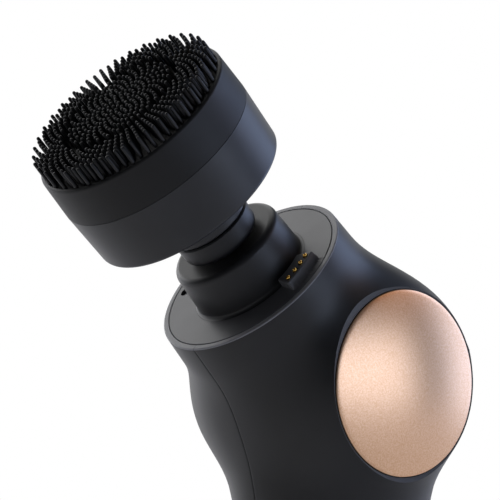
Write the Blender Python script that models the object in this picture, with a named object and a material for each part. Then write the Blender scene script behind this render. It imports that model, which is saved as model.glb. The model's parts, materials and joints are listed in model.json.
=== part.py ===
"""Facial cleansing brush: a hand-held body with a tilted round face, and a brush head that it drives.

The device stands on its base at the origin, with +Z up the handle. The head leans forwards, towards -Y,
and the handle's display and buttons face +Y. Sizes are in millimetres and are turned to metres by MM.
Pieces on the head's axis hang on one tilted empty, so their own Z is the height above the body's rim.
"""

from math import asin
from math import atan
from math import cos
from math import hypot
from math import pi
from math import radians
from math import sin

import bmesh
import bpy
from mathutils import Matrix
from mathutils import Vector

MM = 0.001
FIT_GAP = 0.3
EDGE_GAP = 0.25

# Body
HEAD_TILT = radians(45)
BULGE_Z = 94.0
RIM_REACH = 36.0
RIM_R = 24.4
RIM_OPENING_R = 22.9
NECK_R_AT_BULGE = 25.87
NECK_GROWTH_LENGTH = 26.0
NECK_BLEND = 6.5
BULGE_R = 29.2
BULGE_ARC_R = 30.4
BULGE_HALF_WIDTH = 37.4
HANDLE_BLEND = 4.2
WAIST_R = 19.8
WAIST_Z = 36.0
TAPER_START_Z = 54.0
TAPER_SLOPE = 0.2
BASE_R = 24.0
BASE_EDGE_Z = 0.7
WALL = 1.6
SEAM_GAP = 0.16
LEDGE_DEPTH = 2.8
LEDGE_INNER_R = 21.2
FAN_PIVOT_Z = 69.0
BODY_SEGMENTS = 36

# Side discs
DISC_R = 21.9
DISC_EDGE_X = 26.0
DISC_DOME = 3.0
DISC_BACK_X = 25.3
DISC_POCKET_R = 22.15
DISC_POCKET_X = 23.7
DISC_WALL_X = 22.3
BEZEL_SLOPE = 0.31
WIRING_HOLE_R = 3.0
GASKET_R = (17.5, 20.5)
GASKET_X = (24.0, 25.0)

# Top plate, hub and drive shaft
PLATE_R = 22.6
PLATE_THICKNESS = 2.5
HUB_SEAT_R = 15.4
HUB_SEAT_DEPTH = 0.3
HUB_FLANGE_R = 15.1
HUB_BASE_R = 14.4
HUB_TOP_R = 14.0
HUB_SHOULDER = 1.6
HUB_HEIGHT = 11.2
HUB_BORE_R = 6.8
LEDGE_R = (15.6, 21.2)
LEDGE_HALF_ANGLE = radians(15.3)
LEDGE_HEIGHT = 2.2
CONTACT_COUNT = 4
CONTACT_CIRCLE_R = 19.0
CONTACT_PITCH = radians(7.4)
CONTACT_R = 0.55
CONTACT_STAND = 0.5
CONTACT_FOOT_Z = -4.2
PLATE_SCREW_SPOT = (-19.6, -4.9, 0)
PLATE_SCREW_HOLE_R = 1.35
BUSH_R = 6.5
BUSH_Z = (-3.2, 6.6)
SEAL_Z = (7.0, 9.0)
SHAFT_R = 4.2
BUSH_GAP = 0.1
COLLAR_R = 9.9
COLLAR_FILLET = 2.2
COLLAR_Z = (11.7, 17.2)
POST_R = 5.0
POST_TOP_Z = 24.0
TONGUE_HALF_X = 1.8
WRIST_HOLE_R = 1.3

# Brush head
BOSS_R = 10.2
BOSS_BOTTOM_Z = 17.6
CUP_BOTTOM_Z = 25.8
CUP_R = (24.55, 25.1)
CUP_FILLET = 1.0
CUP_TOP_Z = 40.2
CUP_WALL = 2.0
SKIRT_BOTTOM_Z = 40.5
LIP_R = 24.8
LIP_FILLET = 0.75
LIP_Z = 50.4
BRISTLE_TOP_Z = 55.0
BRISTLE_INNER_R = 14.0
BRISTLE_OUTER_R = (15.6, 24.0)

# Drive
STROKE = 6.0
CRANK_THROW = STROKE / 2
ROD_LENGTH = 22.0
MOTOR_R = 12.0
MOTOR_X = (-21.5, -8.0)
MOTOR_BOSS = (1.3, 8.0)
MOTOR_SHAFT_R = 1.0
ECCENTRIC_R = 8.6
ECCENTRIC_X = (-4.9, -1.9)
CRANK_PIN_R = 1.5
BIG_END_R = 5.0
SMALL_END_R = 3.0
BEARING_R = (1.7, 3.2)
ROD_HALF_WIDTH = 1.4
SHELF_Z = (76.4, 78.8)
BRACKET_FOOT_Z = (79.1, 80.7)
BRACKET_X = (-7.5, -5.9)
BRACKET_SCREW_Y = (-5.0, 4.0)

# Handle contents
BATTERY_R = 9.2
BATTERY_Z = (9.0, 73.5)
BATTERY_Y = -4.3
FRAME_Y = (5.2, 7.2)
BOARD_Y = (7.6, 9.0)
BUTTON_R = 4.2
BUTTON_Z = (30.0, 43.0)
BUTTON_TRAVEL = 0.8
BUTTON_CAP_DEPTH = 2.4
BUTTON_STEM = (1.4, 5.0)
LENS_CENTRE_Z = 66.0
LENS_HALF_SIZE = (5.5, 9.0)
LENS_CORNER_R = 3.0

# Base
CAP_R = (21.8, 21.3)
CAP_PLUG_R = 15.0
FOOT_R = 19.5
CHARGE_X = 6.0
CHARGE_HOLE_R = 2.1
CHARGE_CONTACT_R = 1.8
BASE_SCREW_CIRCLE_R = 12.0
BASE_SCREW_HEAD_R = 1.8
BASE_SCREW_R = 0.8


def clear_scene():
    for obj in list(bpy.data.objects):
        bpy.data.objects.remove(obj)


def plastic(name, colour, roughness, metallic=0.0):
    material = bpy.data.materials.new(name)
    material.use_nodes = True
    shader = material.node_tree.nodes["Principled BSDF"]
    shader.inputs["Base Color"].default_value = (*colour, 1.0)
    shader.inputs["Roughness"].default_value = roughness
    shader.inputs["Metallic"].default_value = metallic
    return material


def node(name, mesh, material, parent=None, spot=(0, 0, 0), turn=(0, 0, 0)):
    """An object that shows the mesh, at a place given in millimetres in its parent's frame."""
    obj = bpy.data.objects.new(name, mesh)
    bpy.context.collection.objects.link(obj)
    obj.parent = parent
    obj.location = Vector(spot) * MM
    obj.rotation_euler = turn
    mesh.materials.clear()
    mesh.materials.append(material)
    return obj


def finished(name, bm, smooth_angle=radians(35)):
    """The bmesh as a mesh in metres, with doubles merged, normals outwards and round parts smooth."""
    bmesh.ops.remove_doubles(bm, verts=bm.verts, dist=1e-4)
    bmesh.ops.dissolve_degenerate(bm, edges=bm.edges, dist=1e-5)
    bmesh.ops.recalc_face_normals(bm, faces=bm.faces)
    bmesh.ops.scale(bm, verts=bm.verts, vec=(MM, MM, MM))
    mesh = bpy.data.meshes.new(name)
    bm.to_mesh(mesh)
    bm.free()
    mesh.shade_smooth()
    mesh.set_sharp_from_angle(angle=smooth_angle)
    return mesh


def turned(name, profile, segments=32, axis="Z"):
    """A closed (radius, height) outline turned round the axis."""
    bm = bmesh.new()
    corners = [bm.verts.new((r, 0, z)) for r, z in profile]
    for first, second in zip(corners, corners[1:] + corners[:1]):
        bm.edges.new((first, second))
    bmesh.ops.spin(
        bm,
        geom=bm.verts[:] + bm.edges[:],
        cent=(0, 0, 0),
        axis=(0, 0, 1),
        angle=2 * pi,
        steps=segments,
        use_merge=True,
    )
    if axis == "X":
        bmesh.ops.rotate(bm, verts=bm.verts, matrix=Matrix.Rotation(pi / 2, 3, "Y"))
    if axis == "Y":
        bmesh.ops.rotate(bm, verts=bm.verts, matrix=Matrix.Rotation(-pi / 2, 3, "X"))
    return finished(name, bm)


def rod(name, radius, low, high, segments=24, chamfer=0.3, axis="Z"):
    """A solid round bar with chamfered ends."""
    profile = [
        (0, low),
        (radius - chamfer, low),
        (radius, low + chamfer),
        (radius, high - chamfer),
        (radius - chamfer, high),
        (0, high),
    ]
    return turned(name, profile, segments, axis)


def ring(name, inner, outer, low, high, segments=32, chamfer=0.25, axis="Z"):
    """A plain ring or tube with its outer edges chamfered."""
    profile = [
        (inner, low),
        (outer - chamfer, low),
        (outer, low + chamfer),
        (outer, high - chamfer),
        (outer - chamfer, high),
        (inner, high),
    ]
    return turned(name, profile, segments, axis)


def slab(name, low, high, chamfer=0.3):
    """A box between two corners, with its edges bevelled."""
    bm = bmesh.new()
    bmesh.ops.create_cube(bm, size=1)
    middle = (Vector(low) + Vector(high)) / 2
    bmesh.ops.scale(bm, verts=bm.verts, vec=Vector(high) - Vector(low))
    bmesh.ops.translate(bm, verts=bm.verts, vec=middle)
    if chamfer:
        bmesh.ops.bevel(bm, geom=bm.edges[:], offset=chamfer, segments=1, affect="EDGES")
    return finished(name, bm)


def prism(name, outline, low, high, axis="Z"):
    """A flat outline of (x, y) points extruded from one height to another."""
    bm = bmesh.new()
    face = bm.faces.new([bm.verts.new((x, y, low)) for x, y in outline])
    pushed = bmesh.ops.extrude_face_region(bm, geom=[face])["geom"]
    moved = [item for item in pushed if isinstance(item, bmesh.types.BMVert)]
    bmesh.ops.translate(bm, verts=moved, vec=(0, 0, high - low))
    if axis == "X":
        bmesh.ops.rotate(bm, verts=bm.verts, matrix=Matrix.Rotation(pi / 2, 3, "Y"))
    if axis == "Y":
        bmesh.ops.rotate(bm, verts=bm.verts, matrix=Matrix.Rotation(-pi / 2, 3, "X"))
    return finished(name, bm)


def arc(radius, start, end, steps, centre=(0, 0)):
    """Points along an arc, from one angle to another."""
    angles = [start + (end - start) * i / steps for i in range(steps + 1)]
    return [(centre[0] + radius * cos(a), centre[1] + radius * sin(a)) for a in angles]


def rounded_box_outline(half_x, half_y, corner, steps=4):
    points = []
    for sign_x, sign_y, quarter in ((1, 1, 0), (-1, 1, 1), (-1, -1, 2), (1, -1, 3)):
        centre = (sign_x * (half_x - corner), sign_y * (half_y - corner))
        start = quarter * pi / 2
        points += arc(corner, start, start + pi / 2, steps, centre)
    return points


def cut(obj, cutter, operation="DIFFERENCE"):
    """Cuts, joins or intersects with another object, which stays in the scene as a guide only for cuts."""
    modifier = obj.modifiers.new(operation.title() + "." + cutter.name, "BOOLEAN")
    modifier.object = cutter
    modifier.operation = operation
    cutter.hide_render = True
    cutter.display_type = "WIRE"


# The body's skin: three simple shapes run softly into each other.


def soft_min(first, second, blend):
    share = min(max(0.5 + 0.5 * (second - first) / blend, 0.0), 1.0)
    return second * (1 - share) + first * share - blend * share * (1 - share)


def handle_radius(z):
    """A waisted handle: flared to the base, and growing evenly towards the bulge."""
    if z < WAIST_Z:
        return WAIST_R + (BASE_R - WAIST_R) * ((WAIST_Z - z) / WAIST_Z) ** 2
    run = TAPER_START_Z - WAIST_Z
    if z < TAPER_START_Z:
        return WAIST_R + TAPER_SLOPE * (z - WAIST_Z) ** 2 / (2 * run)
    return WAIST_R + TAPER_SLOPE * run / 2 + TAPER_SLOPE * (z - TAPER_START_Z)


def outside_skin(x, y, z):
    """How far a point lies outside the body's skin, negative inside."""
    up = z - BULGE_Z
    along = -y * sin(HEAD_TILT) + up * cos(HEAD_TILT)
    across = y * cos(HEAD_TILT) + up * sin(HEAD_TILT)
    growth = min(max((RIM_REACH - along) / NECK_GROWTH_LENGTH, 0.0), 1.3)
    neck_r = RIM_R + (NECK_R_AT_BULGE - RIM_R) * growth
    neck = max(hypot(x, across) - neck_r, -along - 5)
    flat = abs(x) - (BULGE_HALF_WIDTH - BULGE_ARC_R)
    reach = hypot(y, up) - (BULGE_R - BULGE_ARC_R)
    bulge = min(max(flat, reach), 0) + hypot(max(flat, 0), max(reach, 0)) - BULGE_ARC_R
    handle = max(hypot(x, y) - handle_radius(z), up - 5)
    return soft_min(soft_min(neck, bulge, NECK_BLEND), handle, HANDLE_BLEND)


def skin_reach(start, direction, depth):
    """The distance from a point inside the body to where its skin is the given depth away."""
    near = 4.0
    far = 60.0
    while far - near > 1e-4:
        middle = (near + far) / 2
        point = start + direction * middle
        if outside_skin(*point) > -depth:
            far = middle
        else:
            near = middle
    return near


def tilt_vector(across, along):
    """A vector in the mirror plane, from the head's own directions to the device's."""
    y = across * cos(HEAD_TILT) - along * sin(HEAD_TILT)
    z = across * sin(HEAD_TILT) + along * cos(HEAD_TILT)
    return Vector((0, y, z))


RIM_CENTRE = Vector((0, 0, BULGE_Z)) + tilt_vector(0, RIM_REACH)
FAN_PIVOT = Vector((0, FAN_PIVOT_Z - RIM_CENTRE.z + RIM_CENTRE.y, FAN_PIVOT_Z))


def section_frames():
    """(centre, in-plane direction) of each cross-section, from the base to just under the rim.

    The sections are level up the handle. Above it they fan out about a line in front of the body,
    until the last one lies in the plane of the rim.
    """
    frames = []
    levels = (BASE_EDGE_Z, 9.0, 18.0, 27.0, 36.0, 45.0, 54.0, 62.0)
    for z in levels:
        frames.append((Vector((0, 0, z)), Vector((0, 1, 0))))
    fan_steps = 11
    start_reach = -FAN_PIVOT.y
    end_reach = (RIM_CENTRE - FAN_PIVOT).length
    for i in range(fan_steps):
        share = i / fan_steps
        turn = HEAD_TILT * share
        back = Vector((0, cos(turn), sin(turn)))
        reach = start_reach + (end_reach - start_reach) * share**2
        frames.append((FAN_PIVOT + back * reach, back))
    return frames


def half_angles(side):
    """Angles round a section from the front seam to the back seam, on one side of the body."""
    steps = BODY_SEGMENTS // 2
    return [side * pi * i / steps for i in range(steps + 1)]


def section_points(frame, depth, side):
    """One half of a section, at a depth under the skin, starting and ending beside the seam."""
    centre, back = frame
    points = []
    for angle in half_angles(side):
        direction = Vector((sin(angle), 0, 0)) - back * cos(angle)
        reach = skin_reach(centre, direction, depth)
        if depth and abs(sin(angle)) > 1e-6:
            reach = min(reach, DISC_WALL_X / abs(sin(angle)))
        point = centre + direction * reach
        point.x = side * max(abs(point.x), SEAM_GAP / 2)
        points.append(point)
    return points


def rim_circle(radius, height, side):
    """Half a circle round the head's axis, at a height above the rim."""
    points = []
    for angle in half_angles(side):
        across = tilt_vector(-radius * cos(angle), height)
        point = RIM_CENTRE + across + Vector((radius * sin(angle), 0, 0))
        point.x = side * max(abs(point.x), SEAM_GAP / 2)
        points.append(point)
    return points


def skin_solid():
    """The whole outer form as one closed solid, used to trim the pieces that lie flush in it."""
    bm = bmesh.new()
    rows = []
    for frame in section_frames():
        rows.append(section_points(frame, 0, 1) + section_points(frame, 0, -1)[::-1])
    rows.append(rim_circle(RIM_R, 0, 1) + rim_circle(RIM_R, 0, -1)[::-1])
    verts = [[bm.verts.new(point) for point in row] for row in rows]
    for low, high in zip(verts, verts[1:]):
        for i in range(len(low)):
            j = (i + 1) % len(low)
            bm.faces.new((low[i], low[j], high[j], high[i]))
    bm.faces.new(verts[0])
    bm.faces.new(verts[-1])
    return finished("skin_solid", bm)


def half_shell_mesh(name, side):
    """One half of the housing: its outer skin, its cavity with the plate's ledge, and the walls between."""
    frames = section_frames()
    outer = [section_points(frame, 0, side) for frame in frames]
    inner = [section_points(frame, WALL, side) for frame in frames[:-1]]
    inner.append(rim_circle(LEDGE_INNER_R, -LEDGE_DEPTH - 1.2, side))
    inner.append(rim_circle(LEDGE_INNER_R, -LEDGE_DEPTH, side))
    inner.append(rim_circle(RIM_OPENING_R, -LEDGE_DEPTH, side))
    inner.append(rim_circle(RIM_OPENING_R, 0, side))
    outer.append(rim_circle(RIM_R, 0, side))
    bm = bmesh.new()
    outer_verts = [[bm.verts.new(point) for point in row] for row in outer]
    inner_verts = [[bm.verts.new(point) for point in row] for row in inner]
    for rows in (outer_verts, inner_verts):
        for low, high in zip(rows, rows[1:]):
            for i in range(len(low) - 1):
                bm.faces.new((low[i], low[i + 1], high[i + 1], high[i]))
    for end in (0, -1):
        for i in range(len(outer_verts[end]) - 1):
            corners = (outer_verts[end][i], outer_verts[end][i + 1])
            bm.faces.new((*corners, inner_verts[end][i + 1], inner_verts[end][i]))
    for edge in (0, -1):
        outer_line = [row[edge] for row in outer_verts]
        inner_line = [row[edge] for row in inner_verts]
        bm.faces.new(outer_line + inner_line[::-1])
    return finished(name, bm)


def disc_pocket_cutter(side):
    """The round seat of a side disc, opening into a shallow conical bezel, with a hole for the wiring."""
    bezel_x = 42.0
    bezel_r = DISC_POCKET_R + (bezel_x - DISC_EDGE_X) / BEZEL_SLOPE
    profile = [
        (0, DISC_POCKET_X - 5.0),
        (WIRING_HOLE_R, DISC_POCKET_X - 5.0),
        (WIRING_HOLE_R, DISC_POCKET_X),
        (DISC_POCKET_R, DISC_POCKET_X),
        (DISC_POCKET_R, DISC_EDGE_X),
        (bezel_r, bezel_x),
        (0, bezel_x),
    ]
    cutter = node(f"disc_pocket_{side}", turned("pocket", profile, 40, "X"), DARK, None, (0, 0, BULGE_Z))
    if side < 0:
        cutter.rotation_euler = (0, 0, pi)
    return cutter


clear_scene()

DARK = plastic("soft_touch_charcoal", (0.018, 0.019, 0.021), 0.45)
GREY = plastic("satin_grey_plate", (0.16, 0.16, 0.165), 0.4)
SATIN = plastic("satin_black_plastic", (0.02, 0.021, 0.023), 0.35)
SILICONE = plastic("black_silicone", (0.008, 0.008, 0.009), 0.5)
ROSE = plastic("champagne_aluminium", (0.78, 0.52, 0.36), 0.3, 1.0)
STEEL = plastic("stainless_steel", (0.6, 0.6, 0.62), 0.25, 1.0)
GOLD = plastic("gold_plated_brass", (0.85, 0.6, 0.25), 0.2, 1.0)
BRONZE = plastic("oilite_bronze", (0.5, 0.3, 0.14), 0.4, 1.0)
BOARD = plastic("green_board", (0.01, 0.11, 0.05), 0.5)
NYLON = plastic("grey_nylon", (0.25, 0.25, 0.26), 0.5)
WRAP = plastic("blue_battery_wrap", (0.02, 0.12, 0.3), 0.4)
GLASS = plastic("black_glass", (0.004, 0.004, 0.005), 0.08)
RUBBER = plastic("grey_rubber", (0.05, 0.05, 0.055), 0.8)
MAGNET = plastic("nickel_magnet", (0.7, 0.7, 0.68), 0.15, 1.0)

head_axis = bpy.data.objects.new("head_axis", None)
bpy.context.collection.objects.link(head_axis)
head_axis.location = RIM_CENTRE * MM
head_axis.rotation_euler = (HEAD_TILT, 0, 0)


# Housing: two half shells that meet at the mirror plane

skin = node("skin_guide", skin_solid(), DARK)
skin.hide_render = True
skin.display_type = "WIRE"
left_shell = node("left_shell", half_shell_mesh("left_shell", -1), DARK)
right_shell = node("right_shell", half_shell_mesh("right_shell", 1), DARK)

wall_lean = atan(TAPER_SLOPE)
lens_y = handle_radius(LENS_CENTRE_Z)


def lens_block(name, grow, back):
    """A rounded bar along Y with the lens's outline, made larger by grow, from behind the skin outwards."""
    outline = rounded_box_outline(LENS_HALF_SIZE[0] + grow, LENS_HALF_SIZE[1] + grow, LENS_CORNER_R + grow)
    return prism(name, outline, -back, 6.0, "Y")


window = node("display_window", lens_block("display_window", EDGE_GAP, 6.0), DARK)
window.location = Vector((0, lens_y, LENS_CENTRE_Z)) * MM
window.rotation_euler = (-wall_lean, 0, 0)
button_holes = []
for index, height in enumerate(BUTTON_Z):
    hole = rod(f"button_hole_{index}", BUTTON_R + EDGE_GAP, 10, 30, 28, 0.1, "Y")
    button_holes.append(node(f"button_hole_{index}", hole, DARK, None, (0, 0, height)))
for shell, side in ((left_shell, -1), (right_shell, 1)):
    for cutter in (window, *button_holes, disc_pocket_cutter(side)):
        cut(shell, cutter)


# Display lens and its module, behind the handle

lens = node("display_lens", lens_block("display_lens", 0.0, 2.0), GLASS)
lens.location = window.location
lens.rotation_euler = window.rotation_euler
cut(lens, skin, "INTERSECT")
module = slab("display_module", (-5.0, -4.4, -8.0), (5.0, -2.4, 8.0))
node("display_module", module, SATIN, None, (0, lens_y, LENS_CENTRE_Z), (-wall_lean, 0, 0))


# Buttons: flush caps with a stem that presses a switch

BUTTON_NAMES = ("power_button", "mode_button")
for name, height in zip(BUTTON_NAMES, BUTTON_Z):
    wall_y = handle_radius(height)
    profile = [
        (0, wall_y - BUTTON_STEM[1]),
        (BUTTON_STEM[0], wall_y - BUTTON_STEM[1]),
        (BUTTON_STEM[0], wall_y - BUTTON_CAP_DEPTH),
        (BUTTON_R, wall_y - BUTTON_CAP_DEPTH),
        (BUTTON_R, wall_y + 4.0),
        (0, wall_y + 4.0),
    ]
    button = node(name, turned(name, profile, 24, "Y"), SATIN, None, (0, 0, height))
    cut(button, skin, "INTERSECT")
    switch_low = (-2.5, 12.0, height - 2.5)
    switch_high = (2.5, wall_y - BUTTON_STEM[1] - BUTTON_TRAVEL - FIT_GAP, height + 2.5)
    node(name.replace("button", "switch"), slab("switch", switch_low, switch_high), NYLON)


# Side discs on their gaskets

cap_r = (DISC_R**2 + DISC_DOME**2) / (2 * DISC_DOME)
cap_angle = asin(DISC_R / cap_r)
for side, word in ((-1, "left"), (1, "right")):
    dome = []
    for step in range(6):
        angle = cap_angle * (1 - step / 5)
        height = DISC_EDGE_X + DISC_DOME - cap_r * (1 - cos(angle))
        dome.append((cap_r * sin(angle), height))
    disc_mesh = turned(f"{word}_disc", [(0, DISC_BACK_X), (DISC_R, DISC_BACK_X)] + dome, 36, "X")
    turn = (0, 0, 0) if side > 0 else (0, 0, pi)
    node(f"{word}_side_disc", disc_mesh, ROSE, None, (0, 0, BULGE_Z), turn)
    gasket_mesh = ring(f"{word}_gasket", *GASKET_R, *GASKET_X, 24, 0.2, "X")
    node(f"{word}_disc_gasket", gasket_mesh, RUBBER, None, (0, 0, BULGE_Z), turn)


# Top plate with its contact ledge, and the spring contacts

plate_profile = [
    (HUB_BORE_R, -PLATE_THICKNESS),
    (PLATE_R, -PLATE_THICKNESS),
    (PLATE_R, 0),
    (HUB_SEAT_R, 0),
    (HUB_SEAT_R, -HUB_SEAT_DEPTH),
    (HUB_BORE_R, -HUB_SEAT_DEPTH),
]
top_plate = node("top_plate", turned("top_plate", plate_profile, BODY_SEGMENTS), GREY, head_axis)
ledge_outline = arc(LEDGE_R[1], -LEDGE_HALF_ANGLE, LEDGE_HALF_ANGLE, 8)
ledge_outline += arc(LEDGE_R[0], LEDGE_HALF_ANGLE, -LEDGE_HALF_ANGLE, 8)
ledge = node("ledge_add", prism("ledge_add", ledge_outline, -1.0, LEDGE_HEIGHT), GREY, head_axis)
cut(top_plate, ledge, "UNION")
pocket_angles = [CONTACT_PITCH * (i - (CONTACT_COUNT - 1) / 2) for i in range(CONTACT_COUNT)]
for number, angle in enumerate(pocket_angles, 1):
    spot = (CONTACT_CIRCLE_R * cos(angle), CONTACT_CIRCLE_R * sin(angle), 0)
    hole = rod("contact_hole", CONTACT_R + EDGE_GAP, -5, 5, 10, 0.1)
    cut(top_plate, node(f"contact_hole_{number}", hole, GREY, head_axis, spot))
    pin = rod("contact", CONTACT_R, CONTACT_FOOT_Z, LEDGE_HEIGHT + CONTACT_STAND, 10, 0.2)
    node(f"contact_pin_{number}", pin, GOLD, head_axis, spot)
block_top = CONTACT_FOOT_Z - BUTTON_TRAVEL - 0.1
block_low = (CONTACT_CIRCLE_R - 2.2, -5.6, block_top - 1.5)
block_high = (CONTACT_CIRCLE_R + 1.6, 5.6, block_top)
node("contact_block", slab("contact_block", block_low, block_high), NYLON, head_axis)

screw_hole = rod("plate_screw_hole", PLATE_SCREW_HOLE_R, -5, 5, 16, 0.1)
cut(top_plate, node("plate_screw_hole", screw_hole, GREY, head_axis, PLATE_SCREW_SPOT))
screw_profile = [(0, -9.0), (0.7, -9.0), (0.7, -2.0), (1.05, -2.0), (1.05, -0.8), (0, -0.8)]
node("plate_screw", turned("plate_screw", screw_profile, 16), STEEL, head_axis, PLATE_SCREW_SPOT)


# Hub, bush and seal round the drive shaft

hub_foot_z = FIT_GAP - HUB_SEAT_DEPTH
hub_profile = [
    (HUB_BORE_R, hub_foot_z),
    (HUB_FLANGE_R, hub_foot_z),
    (HUB_FLANGE_R - 0.1, hub_foot_z + 0.6),
    (HUB_BASE_R, hub_foot_z + 1.3),
]
shoulder_centre = (HUB_TOP_R - HUB_SHOULDER, HUB_HEIGHT - HUB_SHOULDER)
hub_profile += arc(HUB_SHOULDER, 0, pi / 2, 4, shoulder_centre)
hub_profile += [(HUB_BORE_R, HUB_HEIGHT - 0.3)]
node("shaft_hub", turned("shaft_hub", hub_profile, 32), SATIN, head_axis)
bush = ring("shaft_bush", SHAFT_R + BUSH_GAP, BUSH_R, *BUSH_Z, 24)
node("shaft_bush", bush, BRONZE, head_axis)
seal_r = SHAFT_R + FIT_GAP
seal_profile = [
    (seal_r, SEAL_Z[0]),
    (BUSH_R, SEAL_Z[0]),
    (BUSH_R, SEAL_Z[1]),
    (seal_r + 0.9, SEAL_Z[1] + 0.4),
    (seal_r, SEAL_Z[1] - 0.6),
]
node("shaft_seal", turned("shaft_seal", seal_profile, 24), RUBBER, head_axis)


# Drive shaft: a round bar with a flat tongue at its foot for the rod, and a post for the brush head

WRIST_Z = -RIM_REACH - CRANK_THROW + ROD_LENGTH
tongue_low = WRIST_Z - 4.0
shaft_profile = [
    (0, tongue_low),
    (SHAFT_R - 0.3, tongue_low),
    (SHAFT_R, tongue_low + 0.3),
    (SHAFT_R, COLLAR_Z[1] + 0.3),
    (POST_R, COLLAR_Z[1] + 0.3),
    (POST_R, POST_TOP_Z - 0.6),
    (POST_R - 0.6, POST_TOP_Z),
    (0, POST_TOP_Z),
]
drive_shaft = node("drive_shaft", turned("drive_shaft", shaft_profile, 24), STEEL, head_axis)
flat_top = WRIST_Z + STROKE + CRANK_THROW + 3.2
flat = slab("tongue_flat", (-8, -8, tongue_low - 2), (TONGUE_HALF_X, 8, flat_top), 0)
cut(drive_shaft, node("tongue_flat", flat, STEEL, head_axis))
wrist_hole = rod("wrist_hole", WRIST_HOLE_R, -8, 8, 14, 0.1, "X")
cut(drive_shaft, node("wrist_hole", wrist_hole, STEEL, head_axis, (0, 0, WRIST_Z)))
collar_bore_r = SHAFT_R + FIT_GAP
collar_corner = (COLLAR_R - 0.3 - COLLAR_FILLET, COLLAR_Z[0] + COLLAR_FILLET)
collar_profile = [(collar_bore_r, COLLAR_Z[0])]
collar_profile += arc(COLLAR_FILLET, -pi / 2, 0, 4, collar_corner)
collar_profile += [
    (COLLAR_R, COLLAR_Z[1] - 0.4),
    (COLLAR_R - 0.4, COLLAR_Z[1]),
    (collar_bore_r, COLLAR_Z[1]),
]
node("shaft_collar", turned("shaft_collar", collar_profile, 28), SATIN, head_axis)


# Motor across the body, with its shaft, eccentric and connecting rod

motor_axis = bpy.data.objects.new("motor_axis", None)
bpy.context.collection.objects.link(motor_axis)
motor_axis.location = (0, 0, BULGE_Z * MM)
motor_axis.rotation_euler = (HEAD_TILT, 0, 0)
motor_profile = [
    (0, MOTOR_X[0]),
    (MOTOR_R - 1, MOTOR_X[0]),
    (MOTOR_R, MOTOR_X[0] + 1),
    (MOTOR_R, MOTOR_X[1] - 1),
    (MOTOR_R - 1, MOTOR_X[1]),
    (MOTOR_BOSS[0], MOTOR_X[1]),
    (MOTOR_BOSS[0], MOTOR_X[1] - MOTOR_BOSS[1]),
    (0, MOTOR_X[1] - MOTOR_BOSS[1]),
]
node("motor", turned("motor", motor_profile, 28, "X"), STEEL, motor_axis)
shaft_ends = (MOTOR_X[1] - MOTOR_BOSS[1] + 0.4, ECCENTRIC_X[1] - FIT_GAP)
motor_shaft = rod("motor_shaft", MOTOR_SHAFT_R, *shaft_ends, 16, 0.2, "X")
node("motor_shaft", motor_shaft, STEEL, motor_axis)
eccentric_bore_r = MOTOR_SHAFT_R + 0.2
eccentric_profile = [
    (eccentric_bore_r, ECCENTRIC_X[0]),
    (ECCENTRIC_R, ECCENTRIC_X[0]),
    (ECCENTRIC_R, ECCENTRIC_X[1]),
    (eccentric_bore_r, ECCENTRIC_X[1]),
]
eccentric = node("eccentric", turned("eccentric", eccentric_profile, 28, "X"), BRONZE, motor_axis)
crank_pin = rod("crank_pin_add", CRANK_PIN_R, -3.0, 1.2, 16, 0.2, "X")
cut(eccentric, node("crank_pin_add", crank_pin, STEEL, motor_axis, (0, 0, -CRANK_THROW)), "UNION")

bearing = ring("rod_bearing", *BEARING_R, -1.2, 1.2, 20, 0.15, "X")
node("rod_bearing", bearing, STEEL, motor_axis, (0, 0, -CRANK_THROW))
big_end = arc(BIG_END_R, radians(140), radians(400), 16)
small_end = arc(SMALL_END_R, radians(20), radians(160), 8, (0, ROD_LENGTH))
rod_outline = [(-z, y) for y, z in big_end + small_end]
connecting_rod = prism("connecting_rod", rod_outline, -ROD_HALF_WIDTH, ROD_HALF_WIDTH, "X")
connecting_rod = node("connecting_rod", connecting_rod, NYLON, motor_axis, (0, 0, -CRANK_THROW))
big_hole = rod("big_end_hole", BEARING_R[1] + FIT_GAP, -5, 5, 24, 0.1, "X")
cut(connecting_rod, node("big_end_hole", big_hole, STEEL, motor_axis, (0, 0, -CRANK_THROW)))
wrist_spot = (0, 0, ROD_LENGTH - CRANK_THROW)
small_hole = rod("small_end_hole", WRIST_HOLE_R + 0.2, -5, 5, 16, 0.1, "X")
cut(connecting_rod, node("small_end_hole", small_hole, STEEL, motor_axis, wrist_spot))
wrist_pin = rod("wrist_pin", WRIST_HOLE_R - 0.1, -1.3, 1.5, 14, 0.15, "X")
node("wrist_pin", wrist_pin, STEEL, motor_axis, wrist_spot)


# Inner frame: a floor, a spine and a shelf, with the motor bracket screwed on top

spine = slab("spine", (-9, FRAME_Y[0], 6.2), (9, FRAME_Y[1], SHELF_Z[1] - 0.6), 0)
inner_frame = node("inner_frame", spine, NYLON)
floor = rod("frame_floor", 16.5, 5.6, 7.8, 28)
cut(inner_frame, node("frame_floor", floor, NYLON), "UNION")
shelf = slab("frame_shelf", (-10, -9, SHELF_Z[0]), (10, FRAME_Y[1] - 0.4, SHELF_Z[1]), 0.2)
cut(inner_frame, node("frame_shelf", shelf, NYLON), "UNION")
bracket = slab("bracket_plate", (BRACKET_X[0], -9.5, BRACKET_FOOT_Z[0]), (BRACKET_X[1], 9.5, 104), 0.2)
motor_bracket = node("motor_bracket", bracket, STEEL)
foot = slab("bracket_foot", (BRACKET_X[0], -7.5, BRACKET_FOOT_Z[0]), (6, 6.5, BRACKET_FOOT_Z[1]), 0.2)
cut(motor_bracket, node("bracket_foot", foot, STEEL), "UNION")
boss_hole = rod("boss_hole", 3.0, -12, 0, 20, 0.1, "X")
cut(motor_bracket, node("boss_hole", boss_hole, STEEL, None, (0, 0, BULGE_Z)))
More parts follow.
